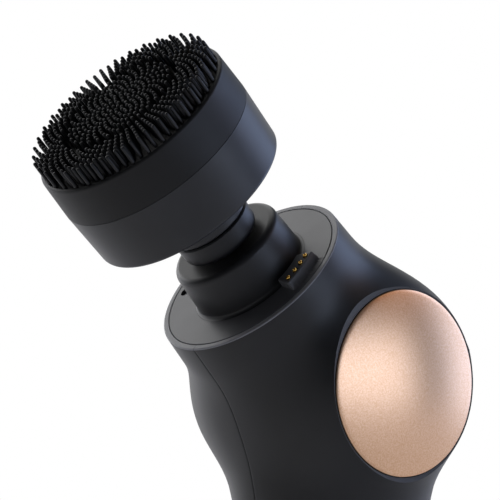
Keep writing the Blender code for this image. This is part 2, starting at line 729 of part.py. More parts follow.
for number, spot_y in enumerate(BRACKET_SCREW_Y, 1):
    spot = (3.0, spot_y, BRACKET_FOOT_Z[1])
    hole = rod("bracket_screw_hole", 1.1, -4.3, 2, 14, 0.1)
    hole_obj = node(f"bracket_screw_hole_{number}", hole, STEEL, None, spot)
    cut(motor_bracket, hole_obj)
    cut(inner_frame, hole_obj)
    profile = [(0, -3.6), (0.8, -3.6), (0.8, 0.3), (1.7, 0.3), (1.7, 1.4), (0, 1.4)]
    node(f"bracket_screw_{number}", turned("bracket_screw", profile, 10), STEEL, None, spot)


# Battery, main board and switch board

battery_profile = [
    (0, BATTERY_Z[0]),
    (BATTERY_R - 0.6, BATTERY_Z[0]),
    (BATTERY_R, BATTERY_Z[0] + 0.6),
    (BATTERY_R, BATTERY_Z[1] - 1.8),
    (BATTERY_R - 0.8, BATTERY_Z[1] - 1.2),
    (3.0, BATTERY_Z[1] - 1.2),
    (3.0, BATTERY_Z[1]),
    (0, BATTERY_Z[1]),
]
node("battery", turned("battery", battery_profile, 24), WRAP, None, (0, BATTERY_Y, 0))
node("main_board", slab("main_board", (-8.5, BOARD_Y[0], 12), (8.5, BOARD_Y[1], 72), 0), BOARD)
node("switch_board", slab("switch_board", (-6, 10.3, 24), (6, 11.5, 49), 0), BOARD)


# Base: cap, rubber foot, charging contacts and the screws into the frame

cap_profile = [
    (0, 1.5),
    (FOOT_R + 0.4, 1.5),
    (FOOT_R + 0.4, 1.0),
    (CAP_R[0], 1.0),
    (CAP_R[1], 3.4),
    (CAP_PLUG_R, 3.4),
    (CAP_PLUG_R, 5.2),
    (0, 5.2),
]
base_cap = node("base_cap", turned("base_cap", cap_profile, 32), DARK)
foot_profile = [(0, 0), (FOOT_R - 0.5, 0), (FOOT_R, 0.4), (FOOT_R, 1.2), (0, 1.2)]
rubber_foot = node("rubber_foot", turned("rubber_foot", foot_profile, 32), RUBBER)
for number, side in enumerate((-1, 1), 1):
    spot = (side * CHARGE_X, 0, 0)
    hole_turn = (0, 0, radians(7))
    hole_mesh = rod("charge_hole", CHARGE_HOLE_R, -2, 8.5, 14, 0.1)
    hole = node(f"charge_hole_{number}", hole_mesh, STEEL, None, spot, hole_turn)
    for piece in (base_cap, rubber_foot, inner_frame):
        cut(piece, hole)
    contact_r = CHARGE_CONTACT_R
    profile = [(0, 0.5), (contact_r, 0.5), (contact_r, 4.2), (0.8, 4.2), (0.8, 8.0), (0, 8.0)]
    node(f"charge_contact_{number}", turned("charge_contact", profile, 14), GOLD, None, spot)
for number in range(1, 4):
    angle = radians(90 + 120 * number)
    spot = (BASE_SCREW_CIRCLE_R * cos(angle), BASE_SCREW_CIRCLE_R * sin(angle), 0)
    thread_hole = rod("base_screw_hole", BASE_SCREW_R + FIT_GAP, 0.6, 8.5, 10, 0.1)
    cap_hole = node(f"base_screw_hole_{number}", thread_hole, STEEL, None, spot)
    counterbore = rod("base_head_hole", BASE_SCREW_HEAD_R + FIT_GAP, 0.6, 2.9, 10, 0.1)
    head_hole = node(f"base_head_hole_{number}", counterbore, STEEL, None, spot)
    cut(base_cap, cap_hole)
    cut(base_cap, head_hole)
    cut(inner_frame, cap_hole)
    head_r = BASE_SCREW_HEAD_R
    profile = [(0, 1.7), (head_r, 1.7), (head_r, 2.6), (BASE_SCREW_R, 2.6), (BASE_SCREW_R, 7.4), (0, 7.4)]
    node(f"base_screw_{number}", turned("base_screw", profile, 10), STEEL, None, spot)


# Brush head: socket boss, cup, screws, magnet, support plate and the silicone brush

boss_profile = [
    (POST_R + FIT_GAP, BOSS_BOTTOM_Z),
    (BOSS_R - 0.4, BOSS_BOTTOM_Z),
    (BOSS_R, BOSS_BOTTOM_Z + 0.4),
    (BOSS_R, CUP_BOTTOM_Z - FIT_GAP),
    (POST_R + FIT_GAP, CUP_BOTTOM_Z - FIT_GAP),
]
node("socket_boss", turned("socket_boss", boss_profile, 28), SATIN, head_axis)
cup_floor = CUP_BOTTOM_Z + 2.2
cup_profile = [(POST_R + FIT_GAP, CUP_BOTTOM_Z)]
cup_corner = (CUP_R[0] - CUP_FILLET, CUP_BOTTOM_Z + CUP_FILLET)
cup_profile += arc(CUP_FILLET, -pi / 2, 0, 3, cup_corner)
cup_profile += [
    (CUP_R[1], CUP_TOP_Z),
    (CUP_R[1] - CUP_WALL, CUP_TOP_Z),
    (CUP_R[0] - CUP_WALL, cup_floor),
    (POST_R + FIT_GAP, cup_floor),
]
brush_cup = node("brush_cup", turned("brush_cup", cup_profile, 36), SATIN, head_axis)
for number in range(1, 4):
    angle = radians(30 + 120 * number)
    spot = (7.6 * cos(angle), 7.6 * sin(angle), 0)
    hole = rod("boss_screw_hole", 1.0, CUP_BOTTOM_Z - 5.5, cup_floor + 1, 10, 0.1)
    hole_obj = node(f"boss_screw_hole_{number}", hole, STEEL, head_axis, spot)
    cut(brush_cup, hole_obj)
    cut(bpy.data.objects["socket_boss"], hole_obj)
    top = cup_floor + FIT_GAP
    profile = [(0, top - 7.0), (0.7, top - 7.0), (0.7, top), (1.5, top), (1.5, top + 1.2), (0, top + 1.2)]
    node(f"boss_screw_{number}", turned("boss_screw", profile, 10), STEEL, head_axis, spot)
node("head_magnet", rod("head_magnet", 4.6, POST_TOP_Z + FIT_GAP, POST_TOP_Z + 3.6, 24), MAGNET, head_axis)
plate_z = LIP_Z - 5.0
support = ring("support_plate", 3.0, CUP_R[1] - 2.7, plate_z, plate_z + 1.6, 32)
node("support_plate", support, NYLON, head_axis)
skirt_inner = CUP_R[1] - 2.2
deck_under = LIP_Z - 2.6
brush_profile = [
    (skirt_inner, SKIRT_BOTTOM_Z),
    (CUP_R[1], SKIRT_BOTTOM_Z),
]
brush_profile += arc(LIP_FILLET, 0, pi / 2, 2, (LIP_R - LIP_FILLET, LIP_Z - LIP_FILLET))
brush_profile += [
    (BRISTLE_OUTER_R[1], LIP_Z),
    (BRISTLE_OUTER_R[1], BRISTLE_TOP_Z),
    (BRISTLE_OUTER_R[0], BRISTLE_TOP_Z),
    (BRISTLE_OUTER_R[0], LIP_Z),
    (BRISTLE_INNER_R, LIP_Z),
    (BRISTLE_INNER_R, BRISTLE_TOP_Z),
    (0, BRISTLE_TOP_Z),
    (0, deck_under),
    (skirt_inner, deck_under),
]
node("silicone_brush", turned("silicone_brush", brush_profile, 36), SILICONE, head_axis)
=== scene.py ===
"""Facial cleansing brush: a hand-held device with a tilted round face, and the brush head that it drives.

It stands on its base, +Z up the handle. The head leans forwards, towards -Y, and the handle's display and
buttons face +Y. Sizes are in millimetres, and MM turns them to the scene's metres.
"""

import json
from math import asin
from math import atan
from math import cos
from math import hypot
from math import pi
from math import radians
from math import sin

import bpy
from mathutils import Matrix
from mathutils import Vector


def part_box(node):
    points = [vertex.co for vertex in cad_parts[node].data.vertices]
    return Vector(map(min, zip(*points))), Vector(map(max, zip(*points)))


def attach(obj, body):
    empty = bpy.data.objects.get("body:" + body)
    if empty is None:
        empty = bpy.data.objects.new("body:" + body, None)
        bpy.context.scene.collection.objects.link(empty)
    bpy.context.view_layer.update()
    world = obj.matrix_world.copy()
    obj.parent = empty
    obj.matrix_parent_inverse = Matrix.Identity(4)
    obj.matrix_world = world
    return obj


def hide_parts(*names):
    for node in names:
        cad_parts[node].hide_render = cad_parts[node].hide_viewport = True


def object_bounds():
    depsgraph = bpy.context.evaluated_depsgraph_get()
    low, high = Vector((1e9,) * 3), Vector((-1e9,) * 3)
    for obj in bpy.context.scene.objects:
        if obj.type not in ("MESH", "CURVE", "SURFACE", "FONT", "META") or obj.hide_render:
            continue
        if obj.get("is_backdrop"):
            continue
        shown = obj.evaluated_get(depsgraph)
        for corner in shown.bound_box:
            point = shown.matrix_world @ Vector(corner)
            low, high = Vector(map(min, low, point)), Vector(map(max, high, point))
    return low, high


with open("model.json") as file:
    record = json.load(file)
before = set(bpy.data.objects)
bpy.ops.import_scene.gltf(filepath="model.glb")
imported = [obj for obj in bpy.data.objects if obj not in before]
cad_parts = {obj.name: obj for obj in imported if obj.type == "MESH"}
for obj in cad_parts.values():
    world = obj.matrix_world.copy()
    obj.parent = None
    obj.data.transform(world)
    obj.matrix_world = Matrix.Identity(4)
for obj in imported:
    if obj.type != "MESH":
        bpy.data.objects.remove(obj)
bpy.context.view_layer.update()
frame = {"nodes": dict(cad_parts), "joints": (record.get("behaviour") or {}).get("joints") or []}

MM = 0.001


# Studio. A long lens at about the bulge's height, a white room, and box lights: high and low on the left,
# cooler ones on the right behind and in front, a small warm one, and a broad one behind. The floor is pale.

CAMERA_PLACE = (466.3, -423.0, 104.5)
CAMERA_RIGHT = Vector((0.6488, 0.7610, -0.0059))
CAMERA_BACK = Vector((0.7604, -0.6486, -0.0342))
SENSOR_MM = 36.0
LENS_MM = 187.4
LIGHT_TARGET = Vector((0, -25, 118)) * MM


def linear(code, alpha=1.0):
    """An sRGB hex colour as the linear values that a shader reads."""
    channels = [int(code[i : i + 2], 16) / 255 for i in (1, 3, 5)]
    return [c / 12.92 if c <= 0.04045 else ((c + 0.055) / 1.055) ** 2.4 for c in channels] + [alpha]


def add(tree, kind, values=None, links=None, **settings):
    """Adds a node with its settings, the values on its sockets, and the outputs that feed them."""
    made = tree.nodes.new(kind)
    for name, setting in settings.items():
        setattr(made, name, setting)
    for name, value in (values or {}).items():
        made.inputs[name].default_value = value
    for name, (source, output) in (links or {}).items():
        tree.links.new(source.outputs[output], made.inputs[name])
    return made


def softbox(name, right, back, up, distance, size, level, colour):
    """A box light in a direction given from the camera's side: to its right, towards it, and up."""
    level_right = Vector((CAMERA_RIGHT.x, CAMERA_RIGHT.y, 0)).normalized()
    level_back = Vector((CAMERA_BACK.x, CAMERA_BACK.y, 0)).normalized()
    direction = (level_right * right + level_back * back + Vector((0, 0, up))).normalized()
    light = bpy.data.lights.new(name, "AREA")
    light.shape = "RECTANGLE"
    light.size = size[0] * MM
    light.size_y = size[1] * MM
    light.energy = level * pi * light.size * light.size_y
    light.color = linear(colour)[:3]
    box = bpy.data.objects.new(name, light)
    bpy.context.collection.objects.link(box)
    box.location = LIGHT_TARGET + direction * distance * MM
    box.rotation_mode = "QUATERNION"
    box.rotation_quaternion = direction.to_track_quat("Z", "Y")
    box.visible_camera = False
    return box


camera_data = bpy.data.cameras.new("camera")
camera_data.sensor_width = SENSOR_MM
camera_data.lens = LENS_MM
camera_data.clip_start = 10 * MM
camera_data.clip_end = 10.0
camera = bpy.data.objects.new("camera", camera_data)
bpy.context.collection.objects.link(camera)
back = CAMERA_BACK.normalized()
right = (CAMERA_RIGHT - back * CAMERA_RIGHT.dot(back)).normalized()
camera_turn = Matrix((right, back.cross(right), back)).transposed().to_4x4()
camera.matrix_world = Matrix.Translation(Vector(CAMERA_PLACE) * MM) @ camera_turn
bpy.context.scene.camera = camera
bpy.context.scene.view_settings.view_transform = "Standard"

softbox("top_light", -0.4, -0.62, 0.7, 900, (1200, 950), 1.55, "#ffffff")
softbox("left_light", -0.7, -0.7, -0.15, 900, (600, 1300), 1.75, "#f8f9ff")
softbox("right_light", 0.87, -0.47, 0.12, 800, (520, 1000), 2.7, "#c0d4ff")
softbox("front_light", 0.86, 0.47, -0.46, 900, (820, 1350), 2.5, "#d4e2ff")
softbox("warm_light", 0.95, 0.0, 0.6, 900, (500, 500), 0.45, "#ffc890")
softbox("back_light", 0.0, -1.0, 0.1, 1200, (1600, 1000), 0.55, "#ffffff")

world = bpy.data.worlds.new("white_room")
bpy.context.scene.world = world
world.use_nodes = True
room = world.node_tree
room.nodes.clear()
seen = add(room, "ShaderNodeBackground", {"Color": linear("#ffffff"), "Strength": 1.0})
fill = add(room, "ShaderNodeBackground", {"Color": linear("#f4f6ff"), "Strength": 0.06})
path = add(room, "ShaderNodeLightPath")
mixed = add(room, "ShaderNodeMixShader", links={0: (path, "Is Camera Ray"), 1: (fill, 0), 2: (seen, 0)})
add(room, "ShaderNodeOutputWorld", links={"Surface": (mixed, 0)})


def material(name, colour, roughness, **values):
    """A Principled material with its fixed values on the shader's own sockets."""
    made = bpy.data.materials.new(name)
    made.use_nodes = True
    shader = made.node_tree.nodes["Principled BSDF"]
    shader.inputs["Base Color"].default_value = linear(colour)
    shader.inputs["Roughness"].default_value = roughness
    for socket, value in values.items():
        shader.inputs[socket.replace("_", " ")].default_value = value
    return made


def vary_colour(made, low, high, grain_mm, detail=3.0):
    """Lets the base colour wander between two hex colours, in patches of a size in millimetres."""
    tree = made.node_tree
    place = add(tree, "ShaderNodeTexCoord")
    pattern = {"Scale": 1 / (grain_mm * MM), "Detail": detail}
    noise = add(tree, "ShaderNodeTexNoise", pattern, {"Vector": (place, "Object")})
    ramp = add(tree, "ShaderNodeValToRGB", links={"Fac": (noise, "Fac")})
    ramp.color_ramp.elements[0].position = 0.35
    ramp.color_ramp.elements[0].color = linear(low)
    ramp.color_ramp.elements[1].position = 0.65
    ramp.color_ramp.elements[1].color = linear(high)
    tree.links.new(ramp.outputs["Color"], tree.nodes["Principled BSDF"].inputs["Base Color"])


def vary_roughness(made, low, high, grain_mm):
    """Lets the roughness wander between two values, as handling and moulding leave it."""
    tree = made.node_tree
    place = add(tree, "ShaderNodeTexCoord")
    pattern = {"Scale": 1 / (grain_mm * MM), "Detail": 4.0}
    noise = add(tree, "ShaderNodeTexNoise", pattern, {"Vector": (place, "Object")})
    spread = add(tree, "ShaderNodeMapRange", {"To Min": low, "To Max": high}, {"Value": (noise, "Fac")})
    tree.links.new(spread.outputs["Result"], tree.nodes["Principled BSDF"].inputs["Roughness"])


def grain(made, grain_mm, depth_mm, strength=1.0, detail=2.0):
    """A fine moulded or blasted texture, as a bump of a size and depth in millimetres."""
    tree = made.node_tree
    place = add(tree, "ShaderNodeTexCoord")
    pattern = {"Scale": 1 / (grain_mm * MM), "Detail": detail}
    noise = add(tree, "ShaderNodeTexNoise", pattern, {"Vector": (place, "Object")})
    relief = {"Strength": strength, "Distance": depth_mm * MM}
    bump = add(tree, "ShaderNodeBump", relief, {"Height": (noise, "Fac")})
    tree.links.new(bump.outputs["Normal"], tree.nodes["Principled BSDF"].inputs["Normal"])


# Pale painted acrylic, matt, with a faint roller texture, and lit a little from below like a light table.
FLOOR_R = 880.0
FLOOR_DROP = 0.2
FLOOR_GLOW = 0.14
floor_paint = material(
    "pale_floor_paint",
    "#e8e8ea",
    0.7,
    Emission_Color=linear("#fff8f2"),
    Emission_Strength=FLOOR_GLOW,
)
vary_colour(floor_paint, "#e4e4e6", "#ececee", 120.0)
grain(floor_paint, 4.0, 0.05)
bpy.ops.object.select_all(action="DESELECT")
bpy.ops.mesh.primitive_circle_add(vertices=128, radius=FLOOR_R * MM, fill_type="NGON", location=(0, 0, 0))
floor = bpy.context.object
floor.name = "floor"
floor.data.transform(Matrix.Translation((0, 0, -FLOOR_DROP * MM)))
floor.data.materials.append(floor_paint)
floor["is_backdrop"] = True


# Rubber foot. A grey silicone-rubber pad, moulded and glued into the base, so that the device doesn't slide.
# Its edge is rounded and a shallow ring is moulded into the sole.

AXIS_R = 0.004
FOOT_RING_R = (15.4, 16.6)
FOOT_RING_DEPTH = 0.35
FOOT_RING_DRAFT = 0.2
FOOT_CHAMFER = 0.5
CHARGE_X = 6.0


def arc(radius, start, end, steps, centre):
    """Points along an arc between two angles in degrees."""
    angles = [radians(start + (end - start) * i / steps) for i in range(steps + 1)]
    return [(centre[0] + radius * cos(a), centre[1] + radius * sin(a)) for a in angles]


def lathed(name, profile, segments=120):
    """Turns a closed outline of (radius, height) corners round Z, ring by ring."""
    profile = [(max(r, AXIS_R), z) for r, z in profile]
    bpy.ops.object.select_all(action="DESELECT")
    place = (0, 0, profile[0][1] * MM)
    bpy.ops.mesh.primitive_circle_add(vertices=segments, radius=profile[0][0] * MM, location=place)
    piece = bpy.context.object
    piece.name = name
    bpy.ops.object.mode_set(mode="EDIT")
    bpy.ops.mesh.select_all(action="SELECT")
    for (r, z), (next_r, next_z) in zip(profile, profile[1:] + profile[:1]):
        bpy.ops.mesh.extrude_edges_move(TRANSFORM_OT_translate={"value": (0, 0, (next_z - z) * MM)})
        bpy.ops.transform.resize(value=(next_r / r, next_r / r, 1), center_override=(0, 0, next_z * MM))
    bpy.ops.mesh.select_all(action="SELECT")
    bpy.ops.mesh.remove_doubles(threshold=4 * AXIS_R * MM)
    bpy.ops.mesh.delete_loose()
    bpy.ops.mesh.select_all(action="SELECT")
    bpy.ops.mesh.normals_make_consistent(inside=False)
    bpy.ops.object.mode_set(mode="OBJECT")
    settle(piece)
    return piece


def settle(piece, place=None):
    """Puts the object at the origin, unturned, with its place in its mesh, moved by a further matrix."""
    bpy.context.view_layer.update()
    piece.data.transform((place or Matrix.Identity(4)) @ piece.matrix_world)
    piece.matrix_world = Matrix.Identity(4)


def apply(piece, kind, **settings):
    """Adds a modifier with its settings and applies it."""
    bpy.ops.object.select_all(action="DESELECT")
    piece.select_set(True)
    bpy.context.view_layer.objects.active = piece
    modifier = piece.modifiers.new(kind.title(), kind)
    for name, setting in settings.items():
        setattr(modifier, name, setting)
    bpy.ops.object.modifier_apply(modifier=modifier.name)


def smooth(piece, angle=32):
    """Smooth shading that keeps the real edges, with the flats' own normals."""
    bpy.ops.object.select_all(action="DESELECT")
    piece.select_set(True)
    bpy.context.view_layer.objects.active = piece
    bpy.ops.object.shade_smooth_by_angle(angle=radians(angle))
    apply(piece, "WEIGHTED_NORMAL", keep_sharp=True, weight=60)


def round_edges(piece, width_mm, segments=3, over_degrees=35):
    """Rounds each edge that turns by more than an angle, then shades the piece."""
    apply(
        piece,
        "BEVEL",
        width=width_mm * MM,
        segments=segments,
        limit_method="ANGLE",
        angle_limit=radians(over_degrees),
        use_clamp_overlap=True,
    )
    smooth(piece)


def cut(piece, cutter, operation="DIFFERENCE"):
    """Cuts a piece with another, which is then thrown away."""
    apply(piece, "BOOLEAN", object=cutter, operation=operation, solver="EXACT")
    bpy.data.objects.remove(cutter)


def dress(piece, finish, body, slot, *nodes):
    """Gives a new piece its finish, the body it rides on, and the CAD nodes that it stands for; the slot is
    not used.
    """
    piece.data.materials.clear()
    piece.data.materials.append(finish)
    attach(piece, body)
    if nodes:
        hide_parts(*nodes)


def repaint(finish, *nodes):
    """Gives CAD nodes that keep their own shape a finish."""
    for name in nodes:
        for slot in frame["nodes"][name].material_slots:
            slot.material = finish


moulded_rubber = material("moulded_silicone_rubber_grey", "#3a3b3d", 0.75, IOR=1.43)
vary_colour(moulded_rubber, "#363739", "#404143", 6.0)
grain(moulded_rubber, 0.4, 0.02)

foot_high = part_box("rubber_foot")[1]
foot_r = foot_high.x / MM
foot_top = foot_high.z / MM
foot = lathed(
    "rubber_foot_pad",
    [
        (0, 0),
        (FOOT_RING_R[0], 0),
        (FOOT_RING_R[0] + FOOT_RING_DRAFT, FOOT_RING_DEPTH),
        (FOOT_RING_R[1] - FOOT_RING_DRAFT, FOOT_RING_DEPTH),
        (FOOT_RING_R[1], 0),
        (foot_r - FOOT_CHAMFER, 0),
        (foot_r, FOOT_CHAMFER),
        (foot_r, foot_top),
        (0, foot_top),
    ],
)


def bore(x, y, radius, low, high, segments=48):
    """A plain round cutter along Z."""
    bpy.ops.object.select_all(action="DESELECT")
    place = (x * MM, y * MM, (low + high) / 2 * MM)
    depth = (high - low) * MM
    bpy.ops.mesh.primitive_cylinder_add(vertices=segments, radius=radius * MM, depth=depth, location=place)
    return bpy.context.object


CHARGE_HOLE_R = 2.1
for side in (-1, 1):
    cut(foot, bore(side * CHARGE_X, 0, CHARGE_HOLE_R, -1, 3))
round_edges(foot, 0.12)
dress(foot, moulded_rubber, "body", "rubber", "rubber_foot")


# Charging contacts. Two turned brass pins with nickel and gold plating, flush in the sole and soldered
# to wires inside; the plating gives a warm bright metal with fine turning rings.

CHARGE_DISH_R = (0.7, 1.0)
CHARGE_DISH_DEPTH = 0.25
CHARGE_HEAD_TOP = 4.2
CHARGE_TAIL_R = 0.8
gold_plating = material("gold_plated_brass", "#e6b85c", 0.2, Metallic=1.0)
vary_roughness(gold_plating, 0.14, 0.3, 0.5)
grain(gold_plating, 0.12, 0.003)
for number, side in enumerate((-1, 1), 1):
    node_name = f"charge_contact_{number}"
    low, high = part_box(node_name)
    pin_r = (high.x - low.x) / 2 / MM
    pin = lathed(
        f"charging_pin_{number}",
        [
            (0, low.z / MM + CHARGE_DISH_DEPTH),
            (CHARGE_DISH_R[0], low.z / MM + CHARGE_DISH_DEPTH),
            (CHARGE_DISH_R[1], low.z / MM),
            (pin_r, low.z / MM),
            (pin_r, CHARGE_HEAD_TOP),
            (CHARGE_TAIL_R, CHARGE_HEAD_TOP),
            (CHARGE_TAIL_R, high.z / MM),
            (0, high.z / MM),
        ],
        48,
    )
    settle(pin, Matrix.Translation((side * CHARGE_X * MM, 0, 0)))
    round_edges(pin, 0.1)
    dress(pin, gold_plating, "body", "gold", node_name)


# Housing. Two ABS half shells that meet at the mirror plane, moulded with a tight seam and sprayed with a
# soft-touch paint. Three simple forms run softly into each other: a waisted handle, a bulge, and the neck.

HEAD_TILT = radians(45)
BULGE_Z = 94.0
RIM_REACH = 36.0
RIM_R = 24.4
RIM_FILLET = 0.35
RIM_OPENING_R = 22.9
NECK_GROWTH = (1.47, 26.0)
NECK_BLEND = 6.5
BULGE_R = 29.2
BULGE_ARC_R = 30.4
BULGE_HALF_WIDTH = 37.4
HANDLE_BLEND = 4.2
WAIST_R = 19.8
WAIST_Z = 36.0
TAPER_START_Z = 54.0
TAPER_SLOPE = 0.2
BASE_R = 24.0
BASE_EDGE_Z = 0.7
WALL = 1.6
DISC_WALL_X = 22.3
SEAM_HALF_GAP = 0.04
SEAM_ROUNDING = 0.12
LEDGE_DEPTH = 2.8
LEDGE_INNER_R = 21.2
FAN_PIVOT_Z = 69.0
ROUND_STEPS = 72
LEVEL_STEP = 2.4
FAN_STEPS = 46
FORM_OVERLAP = 5.0
NECK_GROWTH_END = 1.3
SKIN_SEARCH = (4.0, 60.0)
SKIN_TOLERANCE = 2e-4
LEDGE_STEP = 1.2
OPENING_CHAMFER = 0.15


def soft_min(first, second, blend):
    """The smaller of two distances, rounded over where they are about equal."""
    share = min(max(0.5 + 0.5 * (second - first) / blend, 0.0), 1.0)
    return second * (1 - share) + first * share - blend * share * (1 - share)


def handle_radius(z):
    """A waisted handle: flared to the base, and growing evenly towards the bulge."""
    if z < WAIST_Z:
        return WAIST_R + (BASE_R - WAIST_R) * ((WAIST_Z - z) / WAIST_Z) ** 2
    run = TAPER_START_Z - WAIST_Z
    if z < TAPER_START_Z:
        return WAIST_R + TAPER_SLOPE * (z - WAIST_Z) ** 2 / (2 * run)
    return WAIST_R + TAPER_SLOPE * run / 2 + TAPER_SLOPE * (z - TAPER_START_Z)


def outside_skin(x, y, z):
    """How far a point lies outside the body's skin, negative inside."""
    up = z - BULGE_Z
    along = (up - y) * cos(HEAD_TILT)
    across = (up + y) * cos(HEAD_TILT)
    growth = min(max((RIM_REACH - along) / NECK_GROWTH[1], 0.0), NECK_GROWTH_END)
    neck = max(hypot(x, across) - RIM_R - NECK_GROWTH[0] * growth, -along - FORM_OVERLAP)
    flat = abs(x) - (BULGE_HALF_WIDTH - BULGE_ARC_R)
    reach = hypot(y, up) - (BULGE_R - BULGE_ARC_R)
    bulge = min(max(flat, reach), 0) + hypot(max(flat, 0), max(reach, 0)) - BULGE_ARC_R
    handle = max(hypot(x, y) - handle_radius(z), up - FORM_OVERLAP)
    return soft_min(soft_min(neck, bulge, NECK_BLEND), handle, HANDLE_BLEND)


def skin_reach(start, direction, depth):
    """The distance from a point inside the body to where its skin is the given depth away."""
    near, far = SKIN_SEARCH
    while far - near > SKIN_TOLERANCE:
        middle = (near + far) / 2
        if outside_skin(*(start + direction * middle)) > -depth:
            far = middle
        else:
            near = middle
    return near


def tilt_vector(across, along):
    """A vector in the mirror plane, from the head's own directions to the device's."""
    return Vector((0, (across - along) * cos(HEAD_TILT), (across + along) * cos(HEAD_TILT)))


RIM_CENTRE = Vector((0, 0, BULGE_Z)) + tilt_vector(0, RIM_REACH)
FAN_PIVOT = Vector((0, FAN_PIVOT_Z - RIM_CENTRE.z + RIM_CENTRE.y, FAN_PIVOT_Z))


def section_frames():
    """(centre, in-plane direction) of each cross-section: level up the handle, then fanning to the rim."""
    level_count = round((FAN_PIVOT_Z - BASE_EDGE_Z) / LEVEL_STEP)
    frames = []
    for i in range(level_count):
        z = BASE_EDGE_Z + (FAN_PIVOT_Z - BASE_EDGE_Z) * i / level_count
        frames.append((Vector((0, 0, z)), Vector((0, 1, 0))))
    start_reach = -FAN_PIVOT.y
    end_reach = (RIM_CENTRE - FAN_PIVOT).length
    for i in range(FAN_STEPS):
        share = i / FAN_STEPS
        turn = HEAD_TILT * share
        outward = Vector((0, cos(turn), sin(turn)))
        reach = start_reach + (end_reach - start_reach) * share**2
        frames.append((FAN_PIVOT + outward * reach, outward))
    return frames


def round_angles():
    """Angles from the front seam to the back seam, with extra ones close to each for the seam's rounding."""
    near_seam = [0.0, 0.006, 0.012, 0.024]
    even = [pi * i / ROUND_STEPS for i in range(1, ROUND_STEPS)]
    return near_seam + even + [pi - angle for angle in near_seam[::-1]]


ANGLES = round_angles()


def beside_seam(point, outward_from, is_outer):
    """Opens the seam a little outside, with its edges rounded, and closes it at the wall's inner face."""
    if is_outer:
        closeness = max(0.0, 1 - (point.x - SEAM_HALF_GAP) / (2 * SEAM_ROUNDING))
        inward = outward_from - point
        inward.x = 0
        point = point + inward.normalized() * SEAM_ROUNDING * closeness**2
    point.x = max(point.x, SEAM_HALF_GAP if is_outer else 0.0)
    return point


def section_points(section, depth):
    """One half of a section on the +X side, at a depth under the skin, from the front seam to the back."""
    centre, outward = section
    points = []
    for angle in ANGLES:
        direction = Vector((sin(angle), 0, 0)) - outward * cos(angle)
        reach = skin_reach(centre, direction, depth)
        if depth and sin(angle) > 1e-6:
            reach = min(reach, DISC_WALL_X / sin(angle))
        points.append(beside_seam(centre + direction * reach, centre, depth == 0))
    return points


def rim_circle(radius, height):
    """Half a circle round the head's axis, on the +X side, at a height above the rim."""
    points = []
    for angle in ANGLES:
        across = tilt_vector(-radius * cos(angle), height)
        point = RIM_CENTRE + across + Vector((radius * sin(angle), 0, 0))
        point.x = max(point.x, SEAM_HALF_GAP)
        points.append(point)
    return points


def bridge(faces, low, high):
    """Adds the strip of faces between two rows of vertex numbers."""
    for i in range(len(low) - 1):
        faces.append((low[i], low[i + 1], high[i + 1], high[i]))


sections = section_frames()
outer_rows = [section_points(section, 0) for section in sections]
rim_round = arc(RIM_FILLET, 0, 90, 4, (RIM_R - RIM_FILLET, -RIM_FILLET))
outer_rows += [rim_circle(radius, height) for radius, height in rim_round]
inner_rows = [section_points(section, WALL) for section in sections[:-3]]
for radius, height in (
    (LEDGE_INNER_R, -LEDGE_DEPTH - LEDGE_STEP),
    (LEDGE_INNER_R, -LEDGE_DEPTH),
    (RIM_OPENING_R, -LEDGE_DEPTH),
    (RIM_OPENING_R, -OPENING_CHAMFER),
    (RIM_OPENING_R + OPENING_CHAMFER, 0),
):
    inner_rows.append(rim_circle(radius, height))


def make_consistent(piece):
    """Turns every face of a closed piece outwards."""
    bpy.ops.object.select_all(action="DESELECT")
    piece.select_set(True)
    bpy.context.view_layer.objects.active = piece
    bpy.ops.object.mode_set(mode="EDIT")
    bpy.ops.mesh.select_all(action="SELECT")
    bpy.ops.mesh.normals_make_consistent(inside=False)
    bpy.ops.object.mode_set(mode="OBJECT")


def housing_half(name, side):
    """A closed half shell from the rows of its outer skin and its inside, mirrored for the -X side."""
    points = []
    faces = []
    outer = []
    inner = []
    for rows, numbers in ((outer_rows, outer), (inner_rows, inner)):
        for row in rows:
            numbers.append(list(range(len(points), len(points) + len(row))))
            points.extend((side * p.x * MM, p.y * MM, p.z * MM) for p in row)
    for numbers in (outer, inner):
        for low, high in zip(numbers, numbers[1:]):
            bridge(faces, low, high)
    bridge(faces, outer[0], inner[0])
    bridge(faces, outer[-1], inner[-1])
    for edge in (0, -1):
        faces.append([row[edge] for row in outer] + [row[edge] for row in inner][::-1])
    mesh = bpy.data.meshes.new(name)
    mesh.from_pydata(points, [], faces)
    shell = bpy.data.objects.new(name, mesh)
    bpy.context.collection.objects.link(shell)
    make_consistent(shell)
    return shell


# The openings in the shells: a round seat for each side disc with a shallow conical bezel round it, the
# display's window, and two button holes.

DISC_R = 21.9
DISC_EDGE_X = 26.0
DISC_POCKET_R = 22.1
DISC_POCKET_X = 23.7
BEZEL_SLOPE = 0.31
BEZEL_END_X = 42.0
WIRING_HOLE_R = 3.0
WIRING_HOLE_DEPTH = 5.0
BUTTON_R = 4.2
BUTTON_Z = {"power": 30.0, "mode": 43.0}
EDGE_GAP = 0.15
LENS_CENTRE_Z = 66.0
LENS_HALF_SIZE = (5.5, 9.0)
LENS_CORNER_R = 3.0
LENS_BAR_FRONT = 6.0

FACE_X = Matrix.Rotation(pi / 2, 4, "Y")
FACE_BACK = Matrix.Rotation(-pi / 2, 4, "X")


